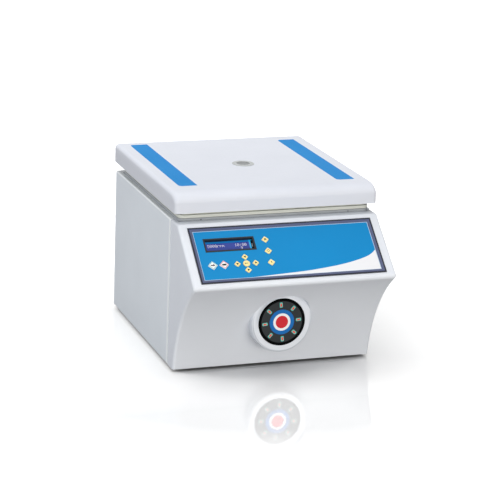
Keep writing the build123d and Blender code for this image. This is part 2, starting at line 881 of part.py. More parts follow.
def rotor_nut():
    """Knurled cap nut that holds the rotor on its shaft."""
    nut = extrude(Circle(rotor_nut_radius), rotor_nut_height)
    nut = chamfer(nut.edges().sort_by(Axis.Z)[-1], rotor_nut_edge)
    groove_top = rotor_nut_height - rotor_nut_edge - overrun
    for step in range(nut_grooves):
        turn = radians(step * 360 / nut_grooves)
        spot = (rotor_nut_radius * cos(turn), rotor_nut_radius * sin(turn))
        nut = nut - rod((*spot, -overrun), (*spot, groove_top), nut_groove_radius)
    nut = nut - rod((0, 0, -overrun), (0, 0, rotor_nut_depth()), shaft_radius)
    return Pos(0, rotor_y, rotor_top()) * nut


def carrier_tray():
    """Open tray of a carrier, about the middle of its trunnion axis."""
    half_x = carrier_half_width()
    half_y = carrier_half_length()
    inner_x = half_x - carrier_wall
    inner_y = half_y - carrier_wall
    z = (-carrier_drop, -carrier_drop + carrier_side_height)
    tray = rounded_block((-half_x, half_x), (-half_y, half_y), z, carrier_corner)
    well_z = (z[0] + carrier_wall, z[1] + overrun)
    well_corner = carrier_corner - carrier_wall
    tray = tray - rounded_block((-inner_x, inner_x), (-inner_y, inner_y), well_z, well_corner)
    window_z = (z[0] - overrun, z[0] + carrier_wall + overrun)
    window = block((-half_x / 2, half_x / 2), (-half_y / 2, half_y / 2), window_z)
    return tray - fillet(window.edges().filter_by(Axis.Z), carrier_window_corner)


def carrier_cheek():
    """Rear end plate of a carrier, which rises to the trunnion."""
    half_y = carrier_half_length()
    top = trunnion_boss_radius
    foot = carrier_half_width() * cheek_foot
    low = -carrier_drop
    shoulder = low + carrier_side_height
    profile = [(-foot, low), (foot, low), (foot, shoulder), (top, 0), (-top, 0), (-foot, shoulder)]
    plate = extrude(Plane.XZ * make_face(Polyline(*profile, close=True)), -carrier_wall)
    face = half_y + trunnion_boss_width
    boss = rod((0, half_y - carrier_wall, 0), (0, face, 0), trunnion_boss_radius)
    bore = trunnion_radius + trunnion_running
    cheek = Pos(0, half_y - carrier_wall, 0) * plate + boss
    return cheek - rod((0, half_y - 2 * carrier_wall, 0), (0, face + overrun, 0), bore)


def carrier(side):
    """Hanging microplate carrier on the side given by -1 or 1."""
    cheek = carrier_cheek()
    body = carrier_tray() + cheek + mirror(cheek, about=Plane.XZ)
    return Pos(side * trunnion_from_axis, rotor_y, trunnion_z) * body


# ---------------------------------------------------------------- lid
def lid_block(inset, drop):
    """Outer form of the lid, shrunk by inset and carried down by drop."""
    top = lid_top - inset
    front = lid_front + inset
    back = rear_y - inset
    low = lid_bottom - drop
    corner_radius = lid_edge_radius - inset
    crown_centre = (lid_front + lid_crown_depth, lid_top - lid_crown_drop)
    crown_y = lid_crown_depth - inset
    crown_z = lid_crown_drop - inset
    crown = EllipticalCenterArc(crown_centre, crown_y, crown_z, upright, arc_size=upright)
    corner = arc((back - corner_radius, top - corner_radius), corner_radius, 0, 90)
    floor = Line((front, low), (back, low))
    rear = Line((back, low), corner @ 0)
    flat = Line(corner @ 1, crown @ 0)
    skirt = Line(crown @ 1, (front, low))
    side = make_face(Wire([floor, rear, corner, flat, crown, skirt]))
    lid = extrude(Plane.YZ * side, half_lid - inset, both=True)
    sides = [lid.faces().sort_by(Axis.X)[0], lid.faces().sort_by(Axis.X)[-1]]
    rims = [edge for face in sides for edge in face.edges() if edge.center().Z > low + 1]
    return fillet(rims, corner_radius)


def strip_outline(side):
    """Outline of the strip on one side of the lid's top; both round the same way."""
    x = side * (half_lid - strip_from_side - strip_width / 2)
    inboard, forward = strip_stagger if side > 0 else (0.0, 0.0)
    front = lid_front + strip_from_front - forward
    back = rear_y - strip_from_rear - forward
    flat = Pos(x - inboard, (front + back) / 2) * Rectangle(strip_width, back - front)
    return fillet(flat.vertices().sort_by(Axis.X)[:2], strip_corner)


def lid_strips():
    """Two thin strips inlaid in the lid's top."""
    base = Pos(0, 0, lid_top - strip_thickness)
    return [extrude(base * strip_outline(side), strip_thickness) for side in (-1, 1)]


def lid_shell():
    """Moulded lid with rounded edges, bosses for the armour plate and notches for the hinges."""
    shell = lid_block(0.0, 0.0) - lid_block(lid_wall, overrun)
    for x, y in boss_spots():
        low = (x, y, armour_z + armour_plate)
        shell = shell + rod(low, (x, y, lid_top - lid_wall), lid_boss_radius)
    for strip in lid_strips():
        shell = shell - strip
    bore = ((0, rotor_y, lid_bottom), (0, rotor_y, lid_top + overrun))
    shell = shell - rod(*bore, port_bore())
    notch_x = hinge_barrel_width / 2 + hinge_side_gap + hinge_ear + hinge_notch_gap
    notch_y = (rear_y - 2 * lid_wall, rear_y + overrun)
    notch_z = (lid_bottom - overrun, hinge_z + hinge_ear_half_depth)
    for side in (-1, 1):
        notch_range = (side * hinge_x - notch_x, side * hinge_x + notch_x)
        shell = shell - block(notch_range, notch_y, notch_z)
    return shell


def boss_spots():
    """Centres of the lid's bosses over the armour plate's corners and sides."""
    x = armour_half_x() - lid_boss_inset
    front, rear = armour_y()
    rows = (front + lid_boss_inset, rotor_y, rear - lid_boss_inset)
    return [(side * x, y) for side in (-1, 1) for y in rows]


def armour_half_x():
    """Half the armour plate's width."""
    return neck_half - liner_waist - liner_wall - lid_wall


def armour_y():
    """Front and back of the armour plate."""
    inset = liner_waist + 2 * liner_wall
    return (neck_front + inset, neck_rear - inset)


def port_bore():
    """Radius of the sight port's tube through the lid."""
    return port_lens_radius + liner_wall


def lid_armour():
    """Steel plate inside the lid that takes the hinges and the strikers."""
    half = armour_half_x()
    z = (armour_z, armour_z + armour_plate)
    plate = rounded_block((-half, half), armour_y(), z, armour_corner)
    hole = ((0, rotor_y, z[0] - overrun), (0, rotor_y, z[1] + overrun))
    return plate - rod(*hole, port_bore())


def lid_liner():
    """Moulded pan under the lid, with the bead that closes down on the neck."""
    bead_top = liner_bottom + liner_bead_height
    bead = liner_frame(0, (liner_bottom, bead_top))
    bead = chamfer(bead.edges().group_by(Axis.Z)[0], liner_bead_edge)
    bead = bead - liner_frame(liner_bead_width, (liner_bottom - overrun, bead_top + overrun))
    pan = bead + liner_frame(liner_waist, (bead_top, armour_z))
    pan = pan - liner_frame(liner_waist + liner_wall, (bead_top - overrun, liner_plate_z))
    plate = (liner_plate_z - overrun, armour_z + overrun)
    pan = pan - rod((0, rotor_y, plate[0]), (0, rotor_y, plate[1]), port_bore())
    slot_x = striker_half_width + lock_slot_gap
    slot_y = (lock_y - lock_slot_ease, lock_y + lock_slot_ease)
    for side in (-1, 1):
        pan = pan - block((side * lock_x - slot_x, side * lock_x + slot_x), slot_y, plate)
    return pan


def liner_frame(inset, z):
    """Plate of the neck's outline, shrunk by inset."""
    x = (inset - neck_half, neck_half - inset)
    return rounded_block(x, (neck_front + inset, neck_rear - inset), z, neck_corner - inset)


def sight_port():
    """Flanged tube of the sight port, with a seat for its lens."""
    top = lid_top + port_rise
    inner = port_lens_radius - port_lip
    flange = ring(port_ring_radius, inner, (lid_top, top), rotor_y)
    rim = flange.edges().group_by(Axis.Z)[-1].sort_by(SortBy.LENGTH)[-1]
    flange = chamfer(rim, port_rise * port_slope)
    port = flange + ring(port_bore() - plug_seat, inner, (liner_plate_z, lid_top), rotor_y)
    seat = ((0, rotor_y, port_lens_low()), (0, rotor_y, top + overrun))
    return port - rod(*seat, port_lens_radius + plug_seat)


def port_lens_low():
    """Underside of the sight port's lens."""
    return lid_top + port_rise - port_lens_sunk - port_lens_thickness


def port_lens():
    """Clear disc of the sight port."""
    low = port_lens_low()
    return rod((0, rotor_y, low), (0, rotor_y, low + port_lens_thickness), port_lens_radius)


# ---------------------------------------------------------------- hinges
def hinge_bracket():
    """Right hinge's U bracket on the rear ledge, with its two ears."""
    ear_x = hinge_barrel_width / 2 + hinge_side_gap
    reach = ear_x + hinge_ear
    y = (hinge_y - hinge_ear_half_depth, hinge_y + hinge_ear_half_depth)
    ear = block((ear_x, reach), y, (ledge_z, hinge_z))
    ear = ear + rod((ear_x, hinge_y, hinge_z), (reach, hinge_y, hinge_z), hinge_ear_half_depth)
    bracket = block((-reach, reach), y, (ledge_z, ledge_z + hinge_foot)) + mirrored(ear)
    ends = ((-reach - overrun, hinge_y, hinge_z), (reach + overrun, hinge_y, hinge_z))
    bracket = Pos(hinge_x, 0, 0) * (bracket - rod(*ends, hinge_pin_radius))
    return drill(bracket, hinge_screw_spots(), (0, 0, 1))


def hinge_pin():
    """Right hinge's headed pin, pressed into the ears."""
    reach = hinge_barrel_width / 2 + hinge_side_gap + hinge_ear
    neck = (-reach, hinge_y, hinge_z)
    pin = rod(neck, (reach + overrun, hinge_y, hinge_z), hinge_pin_radius)
    head = rod((-reach - hinge_pin_head, hinge_y, hinge_z), neck, hinge_pin_radius + hinge_pin_head)
    return Pos(hinge_x, 0, 0) * (pin + head)


def hinge_leaf():
    """Right hinge's leaf: a barrel on the pin and a strap over the armour plate."""
    half = hinge_barrel_width / 2
    barrel = rod((-half, hinge_y, hinge_z), (half, hinge_y, hinge_z), hinge_ear_half_depth)
    low = armour_z + armour_plate
    strap_y = (armour_y()[1] - hinge_leaf_lap, hinge_y)
    leaf = barrel + block((-half, half), strap_y, (low, low + hinge_leaf_thickness))
    ends = ((-half - overrun, hinge_y, hinge_z), (half + overrun, hinge_y, hinge_z))
    return Pos(hinge_x, 0, 0) * (leaf - rod(*ends, hinge_pin_radius + hinge_running))


# ---------------------------------------------------------------- lid locks
def striker():
    """Right striker: a round wire loop under the lid's armour plate."""
    left = (lock_x - striker_half_width, lock_y)
    right = (lock_x + striker_half_width, lock_y)
    loop = rod((*left, striker_z), (*left, armour_z), striker_radius)
    loop = loop + rod((*right, striker_z), (*right, armour_z), striker_radius)
    loop = loop + rod((*left, striker_z), (*right, striker_z), striker_radius)
    for spot in (left, right):
        loop = loop + Pos(*spot, striker_z) * Sphere(striker_radius)
    return loop


def lock_hook():
    """Right hook, parked behind the striker: hub, arm and a claw that sweeps over the bar."""
    inner = hook_arm + striker_radius + hook_clearance
    outer = inner + hook_wall
    half = hook_thickness / 2
    start = upright - hook_parked - hook_span
    end = upright - hook_parked + hook_span
    outside = arc((0, 0), outer, start, end)
    inside = arc((0, 0), inner, start, end)
    claw = Wire([outside, Line(outside @ 1, inside @ 1), inside, Line(inside @ 0, outside @ 0)])
    claw = extrude(Plane.YZ * make_face(claw), half, both=True)
    reach = outer - running_gap
    arm_turn = start + degrees(asin(hook_wall / 2 / outer))
    arm = Rot(0, 0, arm_turn) * Pos(reach / 2, 0) * Rectangle(reach, hook_wall)
    arm = extrude(Plane.YZ * arm, half, both=True)
    hook = claw + arm + rod((-half, 0, 0), (half, 0, 0), hook_hub_radius)
    bore = hook_pin_radius + hook_pin_running
    hook = hook - rod((-half - overrun, 0, 0), (half + overrun, 0, 0), bore)
    return Pos(lock_x, lock_y, hook_z) * hook


def lock_cheek_x():
    """Inner and outer face of a lock cheek, from the lock's middle."""
    inner = striker_half_width + striker_radius + lock_cheek_gap
    return (inner, inner + lock_cheek)


def lock_bracket():
    """Right lock's folded bracket, hung under the deck round the slot."""
    inner, outer = lock_cheek_x()
    top = deck_low()
    sweep = hook_arm + striker_radius + hook_clearance + hook_wall
    y = (lock_y - lock_cheek_front, lock_y + sweep + lock_cheek_back)
    low = hook_z - hook_hub_radius - lock_cheek_below
    cheek = block((inner, outer), y, (low, top))
    cheek = cheek + block((inner, outer + lock_lug), y, (top - lock_cheek, top))
    bracket = block((-outer, outer), y, (low, low + lock_cheek)) + mirrored(cheek)
    ends = ((-outer - overrun, lock_y, hook_z), (outer + overrun, lock_y, hook_z))
    return Pos(lock_x, 0, 0) * (bracket - rod(*ends, hook_pin_radius))


def lock_pin():
    """Right lock's pivot pin with its two spacer collars."""
    inner, outer = lock_cheek_x()
    pin = rod((-outer, lock_y, hook_z), (outer, lock_y, hook_z), hook_pin_radius)
    ends = ((hook_thickness / 2 + hook_side_gap, lock_y, hook_z), (inner, lock_y, hook_z))
    collar = rod(*ends, hook_pin_radius + lock_collar)
    return Pos(lock_x, 0, 0) * (pin + mirrored(collar))


def lock_motor():
    """Right lock's small gear motor on the inner cheek."""
    _, outer = lock_cheek_x()
    half = gearbox_size / 2
    x = (-outer - gearbox_size, -outer)
    low = hook_z - half
    case = block(x, (lock_y - half, lock_y + half), (low, hook_z + half))
    case = fillet(case.edges().filter_by(Axis.X), gearbox_corner)
    middle = x[0] + half
    ends = ((middle, lock_y, low - gearmotor_length), (middle, lock_y, low))
    return Pos(lock_x, 0, 0) * (case + rod(*ends, gearmotor_radius))


# ---------------------------------------------------------------- control panel
def panel_frame():
    """Frame round the overlay: a narrow outer land and a bevel down to the overlay."""
    outer = Box(frame_width, frame_height, frame_rise, align=low_centre)
    land = Rectangle(frame_width - 2 * frame_land, frame_height - 2 * frame_land)
    mouth = Rectangle(2 * (overlay_half_x - running_gap), 2 * (overlay_half_v - running_gap))
    well = loft([Pos(0, 0, frame_rise) * land, mouth])
    return panel * (outer - well)


def key_table():
    """Every key's name, shape and place on the panel."""
    table = [
        ("key_start", "command", command_x - command_pitch / 2, key_row_v),
        ("key_stop", "command", command_x + command_pitch / 2, key_row_v),
        ("key_up", "arrow", cursor_x, key_row_v + cursor_pitch_v),
        ("key_left", "arrow", cursor_x - cursor_pitch_x, key_row_v),
        ("key_right", "arrow", cursor_x + cursor_pitch_x, key_row_v),
        ("key_down", "arrow", cursor_x, key_row_v - cursor_pitch_v),
        ("key_enter", "enter", cursor_x, key_row_v),
    ]
    names = ("key_program", "key_timer", "key_lid")
    for step, name in enumerate(names):
        table.append((name, "function", function_x, function_v + (1 - step) * function_pitch))
    return table


def key_outline(shape, spread):
    """Outline of a key's cap, grown by spread."""
    if shape == "enter":
        return Circle(enter_key_radius + spread)
    side = {"command": command_key, "arrow": arrow_key, "function": function_key}[shape]
    return Rot(0, 0, 45) * RectangleRounded(side + 2 * spread, side + 2 * spread, key_corner + spread)


def key_cap(shape, x, v):
    """Key cap with a flange that keeps it under the overlay."""
    flange_top = -overlay_depth - overlay_thickness - flange_gap
    cap = extrude(key_outline(shape, 0), key_rise - flange_top)
    cap = chamfer(cap.edges().group_by(Axis.Z)[-1], key_edge)
    flange = extrude(key_outline(shape, key_flange), -key_flange_thickness)
    return on_panel(x, v, flange_top) * (cap + flange)


def display_middle():
    """Middle of the display opening on the panel."""
    return (display_x, display_v)


def panel_overlay():
    """Overlay plate with openings for the display and the keys."""
    plate = Box(2 * overlay_half_x, 2 * overlay_half_v, overlay_thickness, align=top_centre)
    plate = Pos(0, 0, -overlay_depth) * plate
    opening_x = display_width + 2 * display_seat
    opening_v = display_height + 2 * display_seat
    opening = Box(opening_x, opening_v, 3 * overlay_thickness)
    plate = plate - Pos(*display_middle(), -overlay_depth) * opening
    for _, shape, x, v in key_table():
        hole = extrude(key_outline(shape, key_gap), 3 * overlay_thickness, both=True)
        plate = plate - Pos(x, v, 0) * hole
    return panel * plate


def display_bezel():
    """Deep black bezel round the display glass, with a seat for the glass behind."""
    depth = display_depth + display_seat_depth
    outer = Box(display_width, display_height, depth, align=top_centre)
    inner_x = display_width - 2 * display_border
    inner_v = display_height - 2 * display_border
    lap = 2 * display_glass_lap
    seat = Box(inner_x + lap, inner_v + lap, display_seat_depth, align=low_centre)
    bezel = outer - Box(inner_x, inner_v, 2 * depth + overrun) - Pos(0, 0, -depth) * seat
    return on_panel(*display_middle(), 0) * bezel


def display_window():
    """Glass of the display, seated in the bezel's back."""
    spare = 2 * (display_border - display_glass_lap + display_seat)
    size = (display_width - spare, display_height - spare, display_glass)
    return on_panel(*display_middle(), -display_depth) * Box(*size, align=top_centre)


def display_module():
    """Display's metal can and circuit board behind the glass."""
    can_x = display_width - display_can_inset[0]
    can_v = display_height - display_can_inset[1]
    can = Box(can_x, can_v, display_can_depth, align=top_centre)
    board_x = display_width + display_board_margin
    board_v = display_height + display_board_margin
    board = Box(board_x, board_v, board_thickness, align=top_centre)
    depth = display_depth + display_seat_depth + display_seat
    return on_panel(*display_middle(), -depth) * (can + Pos(0, 0, -display_can_depth) * board)


def keypad_depth():
    """Depth of the keypad board's face below the panel's surface."""
    under_key = overlay_depth + overlay_thickness + flange_gap + key_flange_thickness
    return under_key + key_travel + keypad_board_gap


def keypad_board():
    """Circuit board under the keys, with one switch dome for each."""
    low = keypad_from_edge - overlay_half_v
    high = display_v - display_height / 2 - keypad_margin
    left = command_x - command_pitch
    right = function_x + command_key
    tab_left = function_x - function_key
    tab_high = function_v + function_pitch + function_key
    board = Pos((left + right) / 2, (low + high) / 2) * Rectangle(right - left, high - low)
    tab = Rectangle(right - tab_left, tab_high - low)
    tab = Pos((tab_left + right) / 2, (low + tab_high) / 2) * tab
    plate = extrude(board + tab, -board_thickness)
    for _, _, x, v in key_table():
        plate = plate + Pos(x, v, 0) * extrude(Circle(dome_radius), dome_rise)
    return panel * Pos(0, 0, -keypad_depth()) * plate


def control_board():
    """Controller board on pillars behind the panel, right of the keys."""
    width, height = control_board_size
    board = Box(width, height, board_thickness, align=top_centre)
    for size, place in ((chip_size, chip_place), (connector_size, connector_place)):
        board = board + Pos(*place, 0) * Box(*size, align=low_centre)
    length = control_board_depth - overlay_depth - overlay_thickness
    for side_x in (-1, 1):
        for side_v in (-1, 1):
            spot = (side_x * (width / 2 - pillar_inset), side_v * (height / 2 - pillar_inset))
            board = board + Pos(*spot, 0) * extrude(Circle(pillar_radius), length)
    x = function_x + command_key + control_board_from_keys + width / 2
    return on_panel(x, 0, -control_board_depth) * board


# ---------------------------------------------------------------- indicator
def indicator_place(angle=0.0, radius=0.0, rise=0.0):
    """Place on the indicator's face; the local Z axis points to the front."""
    out = Vector(cos(radians(angle)), 0, sin(radians(angle)))
    middle = Vector(0, indicator_y - rise, indicator_z)
    return Plane(origin=middle + out * radius, x_dir=out, z_dir=(0, -1, 0))


def led_outline(spread):
    """One lit window's outline, its length along the radius."""
    return RectangleRounded(led_length + 2 * spread, led_width + 2 * spread, led_width / 3)


def led_angles():
    """Directions of the lit windows."""
    return [led_start + step * 360 / led_count for step in range(led_count)]


def indicator_disc():
    """Black disc with a pocket for each lit window."""
    back = indicator_y + indicator_thickness
    disc = indicator_rod(back, indicator_y, indicator_radius)
    pocket = extrude(led_outline(led_seat), 2 * indicator_thickness, both=True)
    for angle in led_angles():
        disc = disc - indicator_place(angle, led_radius) * pocket
    return disc


def indicator_leds():
    """Rounded light windows set in the disc."""
    height = indicator_thickness - led_back + led_rise
    window = extrude(led_outline(0), height)
    window = chamfer(window.edges().group_by(Axis.Z)[-1], led_edge)
    rise = led_rise - height
    return [indicator_place(angle, led_radius, rise) * window for angle in led_angles()]


def badge():
    """Blank badge in the middle of the indicator: a raised ring round a lower face."""
    rim = extrude(Circle(badge_ring_radius) - Circle(badge_radius), badge_rise)
    rim = chamfer(rim.edges().group_by(Axis.Z)[-1], badge_edge)
    return indicator_place() * (rim + extrude(Circle(badge_radius), badge_rise - badge_edge))


# ---------------------------------------------------------------- rear services
def inlet_bay_z():
    """Bottom and top of the fuse drawer in the inlet."""
    low = inlet_z + fuse_drawer_above
    return (low, low + fuse_drawer_height)


def mains_inlet():
    """Three-pin mains inlet with its flange and the bay for the fuse drawer."""
    half_w = inlet_width / 2
    half_h = inlet_height / 2
    mouth = casing_rear + inlet_flange + overrun
    flange_y = (casing_rear, casing_rear + inlet_flange)
    flange = block((-half_w, half_w), flange_y, (-half_h - inlet_lip, half_h + inlet_lip))
    body_w = half_w - inlet_ears - inlet_seat
    body_h = half_h - inlet_seat
    back = casing_rear - inlet_depth / 2
    body = block((-body_w, body_w), (casing_rear - inlet_depth, casing_rear), (-body_h, body_h))
    socket_z = (socket_rim - half_h, socket_top)
    socket = block((-socket_half, socket_half), (back, mouth), socket_z)
    socket = chamfer(socket.edges().filter_by(Axis.Y).group_by(Axis.Z)[0], socket_corner)
    bay_w = fuse_drawer_width / 2 + inlet_seat
    bay_y = (casing_rear - fuse_drawer_depth - overrun, mouth)
    bay_z = [z - inlet_z for z in inlet_bay_z()]
    bay = block((-bay_w, bay_w), bay_y, (bay_z[0] - inlet_seat, bay_z[1] + inlet_seat))
    inlet = flange + body - socket - bay
    half_x, half_z = inlet_pin_half
    pin_y = (back - overrun, casing_rear - inlet_pin_setback)
    for x, z in inlet_pins:
        inlet = inlet + block((x - half_x, x + half_x), pin_y, (z - half_z, z + half_z))
    return Pos(inlet_x, 0, inlet_z) * inlet


def fuse_drawer():
    """Fuse drawer seated in the inlet's bay, with a groove to pull it by."""
    face = casing_rear + inlet_flange + fuse_drawer_proud
    half = fuse_drawer_width / 2
    low, high = inlet_bay_z()
    width, height = fuse_grip
    middle = (low + high) / 2
    drawer = block((-half, half), (casing_rear - fuse_drawer_depth, face), (low, high))
    grip_y = (face - fuse_drawer_proud - overrun, face + overrun)
    grip = block((-width / 2, width / 2), grip_y, (middle - height / 2, middle + height / 2))
    return Pos(inlet_x, 0, 0) * (drawer - grip)


def rocker_y():
    """The rocker's pivot, behind the rear face."""
    return casing_rear + inlet_flange - rocker_reach


def switch_housing():
    """Snap-in housing of the mains switch, with the rocker's pivot pin."""
    half_w = switch_width / 2
    half_h = switch_height / 2
    flange_w = half_w + switch_lip
    flange_h = half_h + switch_lip
    flange_y = (casing_rear, casing_rear + inlet_flange)
    flange = block((-flange_w, flange_w), flange_y, (-flange_h, flange_h))
    back = rocker_y() - half_h
    body_w = half_w - inlet_seat
    body_h = half_h - inlet_seat
    body = block((-body_w, body_w), (back, casing_rear), (-body_h, body_h))
    well_w = half_w - switch_wall
    well_h = half_h - switch_wall
    well_y = (back + switch_wall, flange_y[1] + overrun)
    well = block((-well_w, well_w), well_y, (-well_h, well_h))
    pin_x = half_w - switch_wall / 2
    pin = rod((-pin_x, rocker_y(), 0), (pin_x, rocker_y(), 0), rocker_pin_radius)
    return Pos(switch_x, 0, inlet_z) * (flange + body - well + pin)


def mains_rocker():
    """Rocker tipped to its off side, with a bore on the housing's pin."""
    half_w = switch_width / 2 - switch_wall - running_gap
    face = rocker_reach + rocker_rise
    swing = face * sin(radians(rocker_tilt))
    half_h = switch_height / 2 - switch_wall - running_gap - swing
    outline = [(0, -half_h), (face, -half_h), (rocker_reach, 0), (face, half_h), (0, half_h)]
    key = extrude(Plane.YZ * make_face(Polyline(*outline, close=True)), half_w, both=True)
    key = key + rod((-half_w, 0, 0), (half_w, 0, 0), rocker_pin_radius + rocker_hub_wall)
    bore = rocker_pin_radius + rocker_running
    key = key - rod((-half_w - overrun, 0, 0), (half_w + overrun, 0, 0), bore)
    return Pos(switch_x, rocker_y(), inlet_z) * (Rot(-rocker_tilt, 0, 0) * key)


def drive_inverter():
    """Inverter on the tray: finned heat sink, board and two capacitors."""
    width, length = inverter_size
    x = (inverter_from_side - half_casing, inverter_from_side - half_casing + width)
    y = (seam_y + inverter_from_seam, seam_y + inverter_from_seam + length)
    low = tray_z + tray_sheet
    fin_z = (low + inverter_base, low + inverter_base + inverter_fin_height)
    inverter = block(x, y, (low, fin_z[0]))
    pitch = (width - sheet) / (inverter_fins - 1)
    for step in range(inverter_fins):
        fin_x = x[0] + step * pitch
        inverter = inverter + block((fin_x, fin_x + sheet), y, fin_z)
    top = fin_z[1] + inverter_board
    inverter = inverter + block(x, y, (fin_z[1], top))
    for step in range(capacitor_count):
        spot = (sum(x) / 2, y[0] + (step + 1) * length / (capacitor_count + 1))
        can = rod((*spot, top), (*spot, top + capacitor_height), capacitor_radius)
        inverter = inverter + can
    return inverter


# ---------------------------------------------------------------- pins and screws
def pivot_pins():
    """The hinges' and the lid locks' pivot pins, all pressed into their brackets."""
    return mirrored(hinge_pin()) + mirrored(lock_pin())


def screws():
    """Pan-head screws of the rear panel and of the hinge brackets."""
    placed = [screw(seat, (0, 1, 0)) for seat in rear_screw_spots()]
    return placed + [screw(seat, (0, 0, 1)) for seat in hinge_screw_spots()]


# ---------------------------------------------------------------- export
def save(shape, name):
    """Write one node; a list of solids becomes one group."""
    if isinstance(shape, list):
        shape = Compound(children=[solid for piece in shape for solid in piece.solids()])
    export_step(shape, f"parts/{name}.step")


single_parts = (
    front_fascia, rear_panel, base_tray, rubber_feet, top_deck, release_plugs,
    chamber_bowl, chamber_seal, shaft_boot, guard_ring,
    motor_mounts, motor_plate, motor_body, drive_shaft, rotor_yoke, rotor_nut,
    lid_shell, lid_strips, lid_armour, lid_liner, sight_port, port_lens,
    panel_frame, panel_overlay, display_bezel, display_window, display_module,
    keypad_board, control_board, indicator_disc, indicator_leds, badge,
    mains_inlet, fuse_drawer, switch_housing, mains_rocker,
    drive_inverter, pivot_pins, screws,
)
for make in single_parts:
    save(make(), make.__name__)

# A moving pair is two nodes; a fixed pair of small parts is one.
for make in (side_panel, lock_hook):
    right, left = mirrored(make())[0], mirrored(make())[1]
    save(right, make.__name__ + "_right")
    save(left, make.__name__ + "_left")
for make in (striker, lock_bracket, lock_motor, hinge_bracket):
    save(mirrored(make()), make.__name__ + "s")
save(mirrored(hinge_leaf()), "hinge_leaves")

save(carrier(-1), "carrier_left")
save(carrier(1), "carrier_right")
for key_name, shape, x, v in key_table():
    save(key_cap(shape, x, v), key_name)
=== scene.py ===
import json
import math

import bmesh
import bpy
from mathutils import Matrix, Vector


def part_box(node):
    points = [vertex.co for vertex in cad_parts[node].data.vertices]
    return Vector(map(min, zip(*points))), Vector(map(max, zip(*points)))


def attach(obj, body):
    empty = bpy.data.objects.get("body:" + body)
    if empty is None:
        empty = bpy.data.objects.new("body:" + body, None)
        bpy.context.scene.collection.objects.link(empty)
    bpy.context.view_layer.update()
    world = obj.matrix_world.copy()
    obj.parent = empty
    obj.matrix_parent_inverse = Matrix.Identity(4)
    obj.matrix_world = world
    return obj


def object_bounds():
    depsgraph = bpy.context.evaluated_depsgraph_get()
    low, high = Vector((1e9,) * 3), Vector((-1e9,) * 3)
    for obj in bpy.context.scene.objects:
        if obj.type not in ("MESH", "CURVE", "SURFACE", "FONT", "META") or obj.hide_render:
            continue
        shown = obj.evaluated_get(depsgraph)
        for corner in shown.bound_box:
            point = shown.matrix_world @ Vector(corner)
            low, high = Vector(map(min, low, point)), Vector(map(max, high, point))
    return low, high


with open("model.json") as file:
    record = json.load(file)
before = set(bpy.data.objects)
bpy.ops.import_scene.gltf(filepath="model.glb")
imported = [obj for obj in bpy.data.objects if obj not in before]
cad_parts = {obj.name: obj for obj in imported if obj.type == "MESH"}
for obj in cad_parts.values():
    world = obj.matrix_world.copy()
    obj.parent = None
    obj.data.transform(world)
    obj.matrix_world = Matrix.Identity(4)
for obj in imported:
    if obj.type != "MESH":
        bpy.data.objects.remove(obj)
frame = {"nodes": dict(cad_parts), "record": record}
cad_low, cad_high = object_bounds()
nodes = frame["nodes"]
mm = 0.001


# ------------------------------------------------------------------ casing
# Two side panels and the rear panel are folded from 1.5 mm steel sheet and powder coated a pale
# cool grey. The coat flows out to a soft orange peel about 2 mm across, a little glossier where
# it built up. Along the side panels' folded front and top edges the colour is tinted paler: a
# painted highlight for the light that these rounded folds catch.
def linear(code):
    """An sRGB hex colour as the linear colour that a shader takes."""
    parts = [int(code[i:i + 2], 16) / 255 for i in (1, 3, 5)]
    return [c / 12.92 if c < 0.04045 else ((c + 0.055) / 1.055) ** 2.4 for c in parts] + [1]


def plug(owner, node, sockets):
    """Set a node's inputs to values, or feed them from the outputs given for them."""
    for key, value in sockets.items():
        if isinstance(value, bpy.types.NodeSocket):
            owner.node_tree.links.new(value, node.inputs[key])
        else:
            node.inputs[key].default_value = value


def add(owner, kind, sockets=(), **settings):
    """Add a node to a material or world, with its settings and its inputs by name or number."""
    node = owner.node_tree.nodes.new("ShaderNode" + kind)
    for key, value in settings.items():
        setattr(node, key, value)
    plug(owner, node, dict(sockets))
    return node


def calc(owner, operation, *values):
    """One sum on values or sockets."""
    return add(owner, "Math", dict(enumerate(values)), operation=operation).outputs[0]


def where(material, axis=None):
    """The place on the object in metres, or only one of its coordinates."""
    place = add(material, "TexCoord").outputs["Object"]
    return add(material, "SeparateXYZ", {0: place}).outputs[axis] if axis else place


def noise(material, size, stretch=(1, 1, 1), detail=2.0):
    """Noise whose lumps are about size metres across, drawn out by stretch; returns its value."""
    spread = add(material, "VectorMath", {0: where(material), 1: stretch}, operation="MULTIPLY")
    cloud = add(material, "TexNoise",
                {"Vector": spread.outputs[0], "Scale": 1 / size, "Detail": detail})
    return cloud.outputs[0]


def between(material, factor, low, high, start=0.3, end=0.7):
    """A value that runs from low to high as factor goes from start to end."""
    node = add(material, "MapRange", {0: factor, 1: start, 2: end, 3: low, 4: high})
    return node.outputs[0]


def mix(material, factor, first, second):
    """A colour from first to second by factor."""
    node = add(material, "Mix", data_type="RGBA")
    plug(material, node, {0: factor, 6: first, 7: second})
    return node.outputs[2]


def finish_of(material):
    """The shader of a finish."""
    return material.node_tree.nodes["Principled BSDF"]


def surface(name, colour, shade, gloss, grain, depth, patch=0.12, stretch=(1, 1, 1), **fixed):
    """A finish: colour drifting to shade in patches, roughness between two values, grain bump."""
    material = bpy.data.materials.new(name)
    material.use_nodes = True
    drift = between(material, noise(material, patch, detail=3.0), 0.0, 1.0)
    fine = noise(material, grain, stretch)
    rough = between(material, noise(material, grain * 6, stretch), *gloss)
    bump = add(material, "Bump", {"Strength": 0.6, "Distance": depth, "Height": fine})
    paint = mix(material, drift, linear(colour), linear(shade))
    plug(material, finish_of(material),
         {"Base Color": paint, "Roughness": rough, "Normal": bump.outputs[0]})
    plug(material, finish_of(material), {key.replace("_", " "): fixed[key] for key in fixed})
    return material


def colour_of(material):
    """The output that feeds a finish's colour."""
    return finish_of(material).inputs["Base Color"].links[0].from_socket


